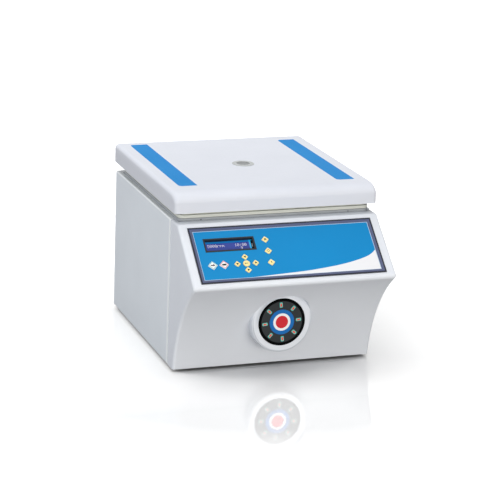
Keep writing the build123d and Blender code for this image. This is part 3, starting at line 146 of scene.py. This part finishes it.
def tint(material, factor, code):
    """Turn a finish's colour towards another one by factor."""
    turned = mix(material, factor, colour_of(material), linear(code))
    plug(material, finish_of(material), {"Base Color": turned})


slot_of = {row["node"]: row["material_slot"] for row in frame["record"]["subparts"]}


def dress(slot, material):
    """Give a material to every CAD node of one of the record's slots."""
    for name, its_slot in slot_of.items():
        if its_slot == slot:
            nodes[name].data.materials.clear()
            nodes[name].data.materials.append(material)


casing_coat = surface("powder_coated_steel", "#E6EDF5", "#E2E9F1", (0.38, 0.46),
                      2.0 * mm, 0.03 * mm)
panel_low, panel_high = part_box("side_panel_left")
painted_front_highlight = between(casing_coat, where(casing_coat, "Y"), 1.0, 0.0,
                     panel_low.y + 7 * mm, panel_low.y + 11 * mm)
painted_top_highlight = between(casing_coat, where(casing_coat, "Z"), 0.0, 1.0,
                   panel_high.z - 4.5 * mm, panel_high.z - 3.0 * mm)
# Painted highlight: the folded front and top edges are tinted paler.
tint(casing_coat, calc(casing_coat, "MAXIMUM", painted_front_highlight, painted_top_highlight), "#F6FBFF")
dress("casing_paint", casing_coat)

# Zinc-plated sheet: the tray, the hinges, the lock brackets and the display module's frame.
dress("zinc_sheet", surface("zinc_plated_sheet", "#B9BEC4", "#A9AFB6", (0.28, 0.42),
                            1.2 * mm, 0.01 * mm, stretch=(1, 0.06, 1), Metallic=1.0))

# ------------------------------------------------------------------ front fascia and deck
# The front is one structural-foam moulding in satin white; the deck round the chamber is the
# same plastic, greyer. Its mould was spark-eroded, which leaves a fine even grain.
fascia_skin = surface("spark_grained_white_plastic", "#E1E6EF", "#DEE3EC", (0.36, 0.44),
                      0.9 * mm, 0.02 * mm)
dress("fascia_plastic", fascia_skin)
dress("deck_plastic", surface("spark_grained_grey_plastic", "#A3A7AC", "#9CA1A7", (0.42, 0.5),
                              0.9 * mm, 0.02 * mm))
dress("plug_rubber", surface("moulded_plug_rubber", "#33383F", "#2A2F36", (0.6, 0.72),
                             0.6 * mm, 0.03 * mm))

# ------------------------------------------------------------------ lid
# The lid's shell is a glossier moulding of the same white, cooler in tone. Below its rolled edge
# the skirt is tinted a tone greyer: painted shade, for the skirt getting less light than the
# crown.
lid_skin = surface("satin_white_lid_plastic", "#E1E5EF", "#DDE1EB", (0.3, 0.38),
                   1.1 * mm, 0.015 * mm)
lid_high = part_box("lid_shell")[1]
painted_skirt_shade = between(lid_skin, where(lid_skin, "Z"), 1.0, 0.0,
                lid_high.z - 20 * mm, lid_high.z - 6 * mm)
# Painted shade: the skirt below the rolled edge is tinted greyer.
tint(lid_skin, painted_skirt_shade, "#D6DAE4")
dress("lid_plastic", lid_skin)

# The liner is a cream-white moulding whose bead shows as a thin light line above the neck.
dress("liner_plastic", surface("matt_cream_liner_plastic", "#D2D5CE", "#CCCFC8", (0.5, 0.58),
                               0.9 * mm, 0.02 * mm))
dress("armour_steel", surface("rolled_armour_steel", "#8D9298", "#7D8288", (0.3, 0.45),
                              1.5 * mm, 0.02 * mm, stretch=(1, 0.05, 1), Metallic=1.0))

# Two blue strips of screen-printed polyester film lie bare on top, with the sight port between.
dress("strip_film", surface("printed_blue_film", "#2F90D7", "#2A8CD3", (0.5, 0.58),
                            0.5 * mm, 0.006 * mm, Specular_IOR_Level=0.04))
dress("port_ring", surface("silver_painted_plastic", "#C3C7C6", "#B6BABA", (0.32, 0.44),
                           0.7 * mm, 0.01 * mm, Metallic=0.3))
dress("port_glass", surface("smoked_polycarbonate", "#5C6264", "#4E5457", (0.06, 0.12),
                            4.0 * mm, 0.01 * mm, IOR=1.58))

# ------------------------------------------------------------------ chamber and rotor
# The chamber is spun from stainless sheet, so its polishing marks run round the middle; the
# seal is soft grey silicone. The rotor is blasted and anodised, its carriers folded from sheet.
dress("stainless_sheet", surface("spun_stainless_sheet", "#C5C7C8", "#B4B7B9", (0.22, 0.36),
                                 0.8 * mm, 0.006 * mm, stretch=(0.06, 0.06, 1), Metallic=1.0))
dress("seal_rubber", surface("silicone_seal", "#6E7378", "#666B70", (0.55, 0.65),
                             0.8 * mm, 0.03 * mm))
dress("foot_rubber", surface("moulded_foot_rubber", "#2B2D30", "#232528", (0.7, 0.82),
                             0.7 * mm, 0.05 * mm))
dress("rotor_aluminium", surface("bead_blasted_anodised_aluminium", "#A9AEB3", "#9EA3A9",
                                 (0.36, 0.46), 0.35 * mm, 0.02 * mm, Metallic=1.0))
dress("carrier_aluminium", surface("anodised_aluminium_sheet", "#C2C6CA", "#B7BBC0",
                                   (0.3, 0.42), 0.5 * mm, 0.01 * mm, stretch=(1, 0.1, 1),
                                   Metallic=1.0))
dress("cast_aluminium", surface("die_cast_aluminium", "#A3A6A9", "#8E9296", (0.42, 0.58),
                                1.6 * mm, 0.08 * mm, Metallic=1.0))
dress("ground_steel", surface("ground_steel", "#B9BCBF", "#AAAEB1", (0.2, 0.3),
                              0.4 * mm, 0.01 * mm, stretch=(1, 1, 0.1), Metallic=1.0))
dress("hardened_steel", surface("hardened_steel", "#7C8084", "#6B6F74", (0.3, 0.42),
                                0.6 * mm, 0.02 * mm, Metallic=1.0))
dress("screw_steel", surface("zinc_plated_screw_steel", "#B4B8BC", "#A2A7AC", (0.24, 0.36),
                             0.5 * mm, 0.01 * mm, Metallic=1.0))

# ------------------------------------------------------------------ electrical pieces
# The inlet, the switch, the lock motors and the display's bezel are black glass-filled nylon
# with a dull skin; the circuit boards carry green solder resist.
dress("black_plastic", surface("black_glass_filled_nylon", "#1B1D20", "#141619", (0.4, 0.52),
                               0.8 * mm, 0.03 * mm))
dress("circuit_board", surface("green_solder_resist", "#1F5A3C", "#1A4D35", (0.28, 0.4),
                               1.4 * mm, 0.03 * mm))

# ------------------------------------------------------------------ control panel
# The frame is one moulding with a dark outer land and a lighter slate bevel down to a
# screen-printed polyester overlay: a blue field with a white sweep and a thin light edge line.
slope = math.radians(39.7)
across = Vector((1, 0, 0))
uphill = Vector((0, math.cos(slope), math.sin(slope)))
outward = Vector((0, -math.sin(slope), math.cos(slope)))
overlay_sunk = 1.65 * mm
overlay_thickness = 2.5 * mm
frame_land = 5.2 * mm
edge_line = 1.6 * mm
overlay_low, overlay_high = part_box("panel_overlay")
panel_middle = (overlay_low + overlay_high) / 2 + outward * overlay_sunk
field_x = (overlay_high.x - overlay_low.x) / 2
field_v = ((overlay_high.z - overlay_low.z - overlay_thickness * math.cos(slope))
           / (2 * math.sin(slope)))


def on_panel(x, v, rise):
    """Where something stands on the panel: local X along it, Y up the slope, Z out of it."""
    turn = Matrix((across, uphill, outward)).transposed().to_4x4()
    return Matrix.Translation(panel_middle + across * x + uphill * v + outward * rise) @ turn


def panel_axes(material):
    """Distance along the panel and up its slope, from the panel's middle."""
    shifted = add(material, "VectorMath", {0: where(material), 1: panel_middle},
                  operation="SUBTRACT").outputs[0]
    return [add(material, "VectorMath", {0: shifted, 1: axis},
                operation="DOT_PRODUCT").outputs["Value"] for axis in (across, uphill)]


def step_at(material, value, edge, soft=0.05 * mm):
    """0 below the edge and 1 above it, with a soft printed border."""
    return add(material, "MapRange", {0: value, 1: edge - soft, 2: edge + soft}).outputs[0]


def outside(material, half_x, half_v):
    """1 outside a rectangle round the panel's middle."""
    along, up = panel_axes(material)
    far_x = step_at(material, calc(material, "ABSOLUTE", along), half_x)
    far_v = step_at(material, calc(material, "ABSOLUTE", up), half_v)
    return calc(material, "MAXIMUM", far_x, far_v)


frame_plastic = surface("two_tone_frame_plastic", "#50587A", "#4A5274", (0.34, 0.42),
                        0.6 * mm, 0.01 * mm)
tint(frame_plastic, outside(frame_plastic, field_x + frame_land, field_v + frame_land), "#151A2B")
dress("frame_plastic", frame_plastic)

# The sweep's edge, from the overlay's lower side to its right side: x and height in millimetres.
sweep_edge = ((-95, -60.6), (-26, -56.6), (29, -53.2), (71, -48.7), (113, -42.5), (142, -36.3),
              (173, -27.0), (187, -19.6), (197, -9.0))
overlay_film = surface("screen_printed_overlay", "#0084C4", "#0088C9", (0.32, 0.4),
                       0.5 * mm, 0.008 * mm, patch=0.2, Specular_IOR_Level=0.25)
along, up = panel_axes(overlay_film)
share = add(overlay_film, "MapRange", {0: along, 1: -field_x, 2: field_x}).outputs[0]
curve = add(overlay_film, "FloatCurve", {"Value": share})
knots = [((x * mm + field_x) / (2 * field_x), (v * mm + field_v) / (2 * field_v))
         for x, v in sweep_edge]
knots = [(0.0, 0.0), (0.2, 0.0)] + knots
points = curve.mapping.curves[0].points
points[0].location, points[1].location = knots[0], (1.0, knots[-1][1])
for knot in knots[1:-1]:
    points.new(*knot)
curve.mapping.update()
height = add(overlay_film, "MapRange", {0: curve.outputs[0], 3: -field_v, 4: field_v}).outputs[0]
below = calc(overlay_film, "SUBTRACT", height, up)
tint(overlay_film, step_at(overlay_film, below, 0.0, 0.15 * mm), "#E9EBF0")
tint(overlay_film, outside(overlay_film, field_x - edge_line, field_v - edge_line), "#B9D2EA")
dress("overlay_film", overlay_film)

# ------------------------------------------------------------------ display
# A two-line liquid-crystal module behind glass: pale segments on indigo, with the backlight's
# cyan showing along the top and the right side where the deep black bezel leaves a gap.
window_low, window_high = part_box("display_window")
window_middle = (window_low + window_high) / 2
window_x = (window_middle - panel_middle).dot(across)
window_v = (window_middle - panel_middle).dot(uphill)
window_end = window_high.x - panel_middle.x
glass_face = 0.6 * mm
ink_thickness = 0.05 * mm
quarter = math.pi / 2


def glow(material, strength):
    """Let a finish shine in its own colour."""
    plug(material, finish_of(material),
         {"Emission Color": colour_of(material), "Emission Strength": strength})


lit = surface("backlit_liquid_crystal", "#16276E", "#1E3180", (0.12, 0.2), 1.0 * mm, 0.004 * mm,
              patch=0.03)
along, up = panel_axes(lit)
tint(lit, step_at(lit, up, window_v + 9.2 * mm, 0.6 * mm), "#0B5F9C")
tint(lit, step_at(lit, along, window_end - 8.4 * mm, 0.6 * mm), "#1590C4")
glow(lit, 0.6)
dress("display_glass", lit)


def printed_shape(mesh, sides, radius, place, turn=0.0, squeeze=(1, 1), hole=0.0):
    """Add a flat outline with that many sides; hole is the share of it that is cut out."""
    made = bmesh.ops.create_circle(mesh, segments=sides, radius=1, cap_ends=not hole)
    spin = Matrix.Rotation(turn, 4, "Z")
    size = Matrix.Diagonal((radius * squeeze[0], radius * squeeze[1], 1, 1))
    if hole:
        inner = bmesh.ops.create_circle(mesh, segments=sides, radius=hole)
        edges = {e for v in made["verts"] + inner["verts"] for e in v.link_edges}
        bmesh.ops.bridge_loops(mesh, edges=list(edges))
        made["verts"] += inner["verts"]
    bmesh.ops.transform(mesh, matrix=place @ size @ spin, verts=made["verts"])


def facing(mesh):
    """Direction in which a flat piece faces, always away from the object's inside."""
    mesh.normal_update()
    mesh.faces.ensure_lookup_table()
    normal = mesh.faces[0].normal.copy()
    return normal if normal.dot(Vector((0, -1, 0.2))) > 0 else -normal


def put(name, mesh, material, body):
    """Make a printed piece of a flat mesh: an ink's thickness, a material, a body to ride on."""
    made = bmesh.ops.extrude_face_region(mesh, geom=mesh.faces[:])
    grown = [item for item in made["geom"] if isinstance(item, bmesh.types.BMVert)]
    bmesh.ops.translate(mesh, vec=facing(mesh) * ink_thickness, verts=grown)
    bmesh.ops.recalc_face_normals(mesh, faces=mesh.faces[:])
    data = bpy.data.meshes.new(name)
    mesh.to_mesh(data)
    mesh.free()
    data.materials.append(material)
    piece = bpy.data.objects.new(name, data)
    bpy.context.scene.collection.objects.link(piece)
    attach(piece, body)


def on_glass(x, v, rise=0.0):
    """A place on the face of the window, by its distance along the panel and up its slope."""
    spot = on_panel(x, v, 0)
    spot.translation += outward * (window_middle - spot.translation).dot(outward)
    spot.translation += outward * (glass_face + rise)
    return spot


# Characters of the read-out: five dots wide and seven high, one string for each row.
dots = {
    "0": ("01110", "10001", "10011", "10101", "11001", "10001", "01110"),
    "1": ("00100", "01100", "00100", "00100", "00100", "00100", "01110"),
    "5": ("11111", "10000", "11110", "00001", "00001", "10001", "01110"),
    "9": ("01110", "10001", "10001", "01111", "00001", "00010", "01100"),
    ":": ("00000", "00100", "00100", "00000", "00100", "00100", "00000"),
    "r": ("00000", "00000", "10110", "11001", "10000", "10000", "10000"),
    "p": ("00000", "00000", "11110", "10001", "11110", "10000", "10000"),
    "m": ("00000", "00000", "11010", "10101", "10101", "10001", "10001"),
}
dot_size = 0.62 * mm
dot_pitch = 0.92 * mm
dots_per_letter = 5.9
row_stretch = 1.05
first_line, second_line = 5.6 * mm, -2.2 * mm
readout = bmesh.new()
for text, left, top in (("5000rpm", -46.5 * mm, first_line), ("10:00", 14.0 * mm, first_line),
                        ("9", 26.0 * mm, second_line)):
    for count, letter in enumerate(text):
        for row, line in enumerate(dots[letter]):
            for column in (number for number, dot in enumerate(line) if dot == "1"):
                x = window_x + left + (count * dots_per_letter + column) * dot_pitch
                v = window_v + top - row * dot_pitch * row_stretch
                printed_shape(readout, 4, dot_size, on_glass(x, v), turn=quarter / 2)
segments = surface("lit_segments", "#C6C3D4", "#CDC8D6", (0.4, 0.5), 0.4 * mm, 0.004 * mm,
                   patch=3 * mm)
glow(segments, 0.25)
put("display_readout", readout, segments, "base")


def ink(name, colour, shade):
    """Screen ink with a slightly uneven film."""
    return surface(name, colour, shade, (0.4, 0.5), 0.4 * mm, 0.005 * mm, patch=4 * mm)


# At the glass's right end a dark printed sheet is painted shade standing in for a gap, with the
# white tab of the backlight's film in it.
gap_from_end = 2.6 * mm
# The first sheet is painted shade for the gap; the second is the backlight's white tab.
for name, colour, shade, squeeze, rise in (
        ("display_gap_painted_shade", "#0B0D12", "#101318", (3.0, 17.0), 0.0),
        ("backlight_tab", "#E4E8EE", "#D9DEE6", (1.3, 6.5), 0.06 * mm)):
    shown = bmesh.new()
    printed_shape(shown, 4, 1.0 * mm, on_glass(window_end - gap_from_end, window_v, rise),
                  turn=quarter / 2, squeeze=squeeze)
    put(name, shown, ink(name + "_film", colour, shade), "base")

# ------------------------------------------------------------------ keys
# Moulded key caps: two white command keys with a printed teal and a red outline, and pale
# yellow cursor and function keys with small dark symbols.
dress("key_white", surface("white_key_plastic", "#F4F5F6", "#ECEEF0", (0.34, 0.42),
                           0.5 * mm, 0.01 * mm))
dress("key_yellow", surface("yellow_key_plastic", "#FBE7A2", "#F7DF94", (0.34, 0.42),
                            0.5 * mm, 0.01 * mm))
dark_ink = ink("dark_screen_ink", "#17181C", "#202227")
teal_ink = ink("teal_screen_ink", "#3FB9B4", "#46C2BC")
red_ink = ink("red_screen_ink", "#D8323C", "#CF2A35")
key_face = 1.0 * mm
ink_rise = 0.02 * mm


def key_place(name, x=0.0, v=0.0):
    """A place on top of a key, x and v millimetres from its middle."""
    low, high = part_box(name)
    middle = (low + high) / 2 - panel_middle
    return on_panel(middle.dot(across) + x * mm, middle.dot(uphill) + v * mm,
                    key_face + ink_rise)


def triangle(radius, x=0.0, v=0.0, turn=0.0):
    """A triangle in millimetres, pointing right until it is turned."""
    return {"sides": 3, "radius": radius * mm, "x": x, "v": v, "turn": turn}


def bar(wide, high, x=0.0, v=0.0):
    """An upright rectangle; each side is 1.41 times the millimetres given for it."""
    return {"sides": 4, "radius": 1.0 * mm, "x": x, "v": v, "turn": quarter / 2,
            "squeeze": (wide, high)}


def print_key(name, key, colour, shapes):
    """Print a group of shapes on one key, which carries them."""
    mesh = bmesh.new()
    for shape in shapes:
        shape = dict(shape)
        place = key_place(key, shape.pop("x", 0.0), shape.pop("v", 0.0))
        printed_shape(mesh, place=place, **shape)
    put(name, mesh, colour, key)


for key, colour in (("key_start", teal_ink), ("key_stop", red_ink)):
    print_key(key + "_outline", key, colour, [{"sides": 4, "radius": 9.6 * mm, "hole": 0.86}])
clock_ring = {"sides": 24, "radius": 3.0 * mm, "hole": 0.75}
symbols = {
    "key_start": (triangle(3.4, x=2.0), bar(3.4, 1.7, x=-2.4)),
    "key_stop": (bar(6.4, 2.7),),
    "key_up": (triangle(3.4, turn=quarter),),
    "key_left": (triangle(3.4, turn=2 * quarter),),
    "key_down": (triangle(3.4, turn=3 * quarter),),
    "key_right": (triangle(3.4),),
    "key_enter": (bar(4.0, 0.8, x=0.5), triangle(1.8, x=-3.0, turn=2 * quarter)),
    "key_program": [bar(3.6, 0.8, v=step * 1.7) for step in (-1, 0, 1)],
    "key_timer": (clock_ring, bar(0.35, 1.3, v=0.9)),
    "key_lid": (triangle(2.0, v=0.8, turn=quarter), bar(2.6, 0.5, v=-1.9)),
}
for key, shapes in symbols.items():
    print_key(key + "_symbol", key, dark_ink, shapes)

# ------------------------------------------------------------------ indicator
# A black disc carries eight light windows, pale teal light pipes with a red lamp in the middle
# of each. The badge inside them is a blue ring round a white face with a plain red dot.
disc_low, disc_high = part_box("indicator_disc")
disc_middle = Vector(((disc_low.x + disc_high.x) / 2, disc_low.y,
                      (disc_low.z + disc_high.z) / 2))
rim_radius = 46.6 * mm
ring_radius = 19.6 * mm
dot_radius = 14.0 * mm
lamp_radius = 38.3 * mm
lamp_rise = 0.42 * mm
lamp_size = (4.9, 2.3)
lamp_count = 8
first_lamp = 4.3


def from_disc(material):
    """The place on the object, measured from the middle of the indicator's face."""
    return add(material, "VectorMath", {0: where(material), 1: disc_middle},
               operation="SUBTRACT").outputs[0]


def disc_radius(material):
    """Distance from the indicator's axis."""
    flat = add(material, "VectorMath", {0: from_disc(material), 1: (1, 0, 1)},
               operation="MULTIPLY")
    return add(material, "VectorMath", {0: flat.outputs[0]}, operation="LENGTH").outputs["Value"]


disc = surface("black_disc_plastic", "#2C3033", "#24282B", (0.4, 0.5), 0.8 * mm, 0.015 * mm)
rim = step_at(disc, disc_radius(disc), rim_radius, 0.4 * mm)
tint(disc, rim, "#010203")
plug(disc, finish_of(disc), {"Specular IOR Level": between(disc, rim, 0.5, 0.08, 0.0, 1.0)})
dress("disc_black", disc)
dress("lamp_red", surface("teal_light_pipe", "#6CCABF", "#60BFB4", (0.24, 0.32),
                          0.6 * mm, 0.008 * mm))
badge = surface("printed_badge_plastic", "#F4F6F8", "#EEF1F5", (0.28, 0.36), 0.7 * mm, 0.008 * mm)
tint(badge, step_at(badge, disc_radius(badge), ring_radius), "#0A69B6")
past_dot = step_at(badge, disc_radius(badge), dot_radius)
plug(badge, finish_of(badge),
     {"Base Color": mix(badge, past_dot, linear("#CE2733"), colour_of(badge))})
dress("badge_plastic", badge)

lamps = bmesh.new()
for count in range(lamp_count):
    angle = math.radians(first_lamp + 360 / lamp_count * count)
    out = Vector((math.cos(angle), 0, math.sin(angle)))
    side = Vector((math.sin(angle), 0, -math.cos(angle)))
    turn = Matrix((out, side, Vector((0, -1, 0)))).transposed().to_4x4()
    middle = disc_middle + out * lamp_radius + Vector((0, -lamp_rise, 0))
    printed_shape(lamps, 4, 1.0 * mm, Matrix.Translation(middle) @ turn, turn=quarter / 2,
                  squeeze=lamp_size)
red_lamp = surface("lit_red_lamp", "#E5301F", "#DB2318", (0.25, 0.35), 0.6 * mm, 0.004 * mm,
                   patch=3 * mm)
glow(red_lamp, 0.25)
put("lamp_cores", lamps, red_lamp, "base")

# Painted shade in the fascia's colour: a fine darker line round the lower half of the land's
# rolled rim, where it turns down to the sweep, and a darker patch on the land's upper left, which
# lies below the sweep round it.
rim_line = 65.4 * mm
off_line = calc(fascia_skin, "ABSOLUTE",
                calc(fascia_skin, "SUBTRACT", disc_radius(fascia_skin), rim_line))
painted_rim_shade = between(fascia_skin, off_line, 0.5, 0.0, 0.4 * mm, 2.2 * mm)
lower = between(fascia_skin, where(fascia_skin, "Z"), 1.0, 0.0,
                disc_middle.z - 10 * mm, disc_middle.z + 25 * mm)
up_left = add(fascia_skin, "VectorMath", {0: from_disc(fascia_skin), 1: (-0.71, 0, 0.71)},
              operation="DOT_PRODUCT").outputs["Value"]
painted_recess_shade = between(fascia_skin, up_left, 0.0, 0.42, 28 * mm, 52 * mm)
inner = between(fascia_skin, disc_radius(fascia_skin), 1.0, 0.0, 56 * mm, 62 * mm)
# Painted shade: the line round the rim and the sunk upper left are tinted darker.
tint(fascia_skin, calc(fascia_skin, "MAXIMUM", calc(fascia_skin, "MULTIPLY", painted_rim_shade, lower),
                       calc(fascia_skin, "MULTIPLY", painted_recess_shade, inner)), "#8E99A6")

# ------------------------------------------------------------------ bench
# A white laminate sweep that keeps the shadow. It returns less light than it shows, as a bench
# inside a tent with grey flags does, and it runs out to plain white.
bench_reach = 30.0
sweep = bmesh.new()
bmesh.ops.create_grid(sweep, x_segments=1, y_segments=1, size=bench_reach)
bench = bpy.data.objects.new("bench_top", bpy.data.meshes.new("bench_top"))
sweep.to_mesh(bench.data)
sweep.free()
bpy.context.scene.collection.objects.link(bench)
laminate = bpy.data.materials.new("white_laminate")
laminate.use_nodes = True
direct = add(laminate, "LightPath").outputs["Is Camera Ray"]
cloud = between(laminate, noise(laminate, 0.3), 0.0, 1.0)
white_sheet = mix(laminate, cloud, linear("#DCDCDC"), linear("#DFDFDF"))
flat = add(laminate, "VectorMath", {0: where(laminate), 1: (1, 1, 0)}, operation="MULTIPLY")
reach = add(laminate, "VectorMath", {0: flat.outputs[0]}, operation="LENGTH").outputs["Value"]
forward_of_it = where(laminate, "Y")
lift = between(laminate, reach, 0.02, 0.8, 0.55, 1.6)
plug(laminate, finish_of(laminate), {
    "Base Color": mix(laminate, direct, linear("#666666"), white_sheet),
    "Roughness": between(laminate, forward_of_it, 0.25, 0.04, cad_low.y - 0.6, cad_low.y + 0.1),
    "Emission Color": linear("#FFFFFF"),
    "Emission Strength": calc(laminate, "MULTIPLY", direct, lift)})

# In front of the instrument its lacquer mirrors the front: not at its foot, where the shadow
# lies, and fading out half a metre away.
starts = between(laminate, forward_of_it, 0.02, 0.36, cad_low.y + 0.06, cad_low.y - 0.10)
ends = between(laminate, reach, 1.0, 0.0, 0.56, 0.79)
mirrored = calc(laminate, "MULTIPLY", calc(laminate, "MULTIPLY", starts, ends), direct)
lacquer = add(laminate, "BsdfGlossy",
              {"Color": linear("#FFFFFF"),
               "Roughness": between(laminate, cloud, 0.02, 0.05, 0.0, 1.0)})
coated = add(laminate, "MixShader",
             {0: mirrored, 1: finish_of(laminate).outputs[0], 2: lacquer.outputs[0]})
plug(laminate, laminate.node_tree.nodes["Material Output"], {"Surface": coated.outputs[0]})
bench.data.materials.append(laminate)

# ------------------------------------------------------------------ lamps and surroundings
# A dim white tent, seen as plain white, with soft boxes overhead, behind, low in front and at
# the left. The bench has lamps of its own, so that the others don't wash out its shadow.
world = bpy.data.worlds.new("white_tent")
bpy.context.scene.world = world
world.use_nodes = True
backdrop = world.node_tree.nodes["Background"]
plug(world, backdrop, {0: linear("#FFFFFF"), 1: 1.0})
tent = add(world, "Background", {0: linear("#FFFFFF"), 1: 0.36})
seen = add(world, "LightPath")
shows = calc(world, "MAXIMUM", seen.outputs["Is Camera Ray"], seen.outputs["Is Glossy Ray"])
choose = add(world, "MixShader", {0: shows, 1: tent.outputs[0], 2: backdrop.outputs[0]})
plug(world, world.node_tree.nodes["World Output"], {0: choose.outputs[0]})

on_bench = bpy.data.collections.new("bench_group")
on_bench.objects.link(bench)
off_bench = bpy.data.collections.new("all_but_bench")
off_bench.objects.link(bench)
off_bench.collection_objects[0].light_linking.link_state = "EXCLUDE"
neutral, warm = (1.0, 1.0, 1.0), (1.0, 0.96, 0.89)


def soft_box(name, place, target, size, power, tone, lights):
    """A rectangular area lamp turned towards a point, unseen itself; lights limits its reach."""
    lamp = bpy.data.lights.new(name, "AREA")
    lamp.shape = "RECTANGLE"
    lamp.size, lamp.size_y = size
    lamp.energy = power
    lamp.color = tone
    holder = bpy.data.objects.new(name, lamp)
    holder.location = place
    direction = Vector(target) - Vector(place)
    holder.rotation_euler = direction.to_track_quat("-Z", "Y").to_euler()
    holder.visible_camera = False
    holder.visible_glossy = False
    holder.light_linking.receiver_collection = lights
    bpy.context.scene.collection.objects.link(holder)


for name, place, target, size, power, tone, lights in (
        ("soft_box_top", (0.1, -0.9, 2.5), (0, 0, 0.3), (1.6, 1.2), 14.0, neutral, off_bench),
        ("soft_box_rear", (0.0, 1.2, 2.4), (0, 0, 0.3), (1.6, 1.2), 22.0, neutral, off_bench),
        ("soft_box_front", (0.0, -2.2, 0.3), (0, 0, 0.15), (2.2, 0.8), 33.4, warm, off_bench),
        ("soft_box_left", (-2.2, 0.0, 1.2), (0, 0, 0.15), (1.6, 1.2), 7.4, neutral, off_bench),
        ("soft_box_left_low", (-2.2, -0.4, 0.4), (0, 0, 0.15), (1.6, 0.8), 11.2, neutral,
         off_bench),
        ("bench_light", (-0.3, -0.45, 3.0), (-0.3, -0.45, 0), (2.6, 2.6), 105.0, neutral,
         on_bench),
        ("bench_light_left", (-3.0, 1.2, 1.2), (0, 0, 0), (1.5, 1.5), 120.0, neutral, on_bench),
        ("bench_light_right", (3.0, 1.0, 1.2), (0, 0, 0), (1.5, 1.5), 75.0, neutral, on_bench)):
    soft_box(name, place, target, size, power, tone, lights)

# ------------------------------------------------------------------ camera
# It stands about 4.5 m off, in front, to the left and above, with a long lens, and is rolled by
# about two degrees.
yaw, pitch, roll = 0.3422, -0.2810, 0.0365
camera_place = (-1.4354, -3.9966, 1.4491)
lens, film_width = 145.75, 36.0
forward = Vector((math.sin(yaw) * math.cos(pitch), math.cos(yaw) * math.cos(pitch),
                  math.sin(pitch)))
right = Vector((math.cos(yaw), -math.sin(yaw), 0))
top = right.cross(forward)
right_rolled = right * math.cos(roll) + top * math.sin(roll)
top_rolled = top * math.cos(roll) - right * math.sin(roll)
camera_data = bpy.data.cameras.new("camera")
camera_data.lens = lens
camera_data.sensor_width = film_width
camera = bpy.data.objects.new("camera", camera_data)
turned = Matrix((right_rolled, top_rolled, -forward)).transposed().to_4x4()
camera.matrix_world = Matrix.Translation(camera_place) @ turned
bpy.context.scene.collection.objects.link(camera)
bpy.context.scene.camera = camera
bpy.context.scene.view_settings.view_transform = "Standard"
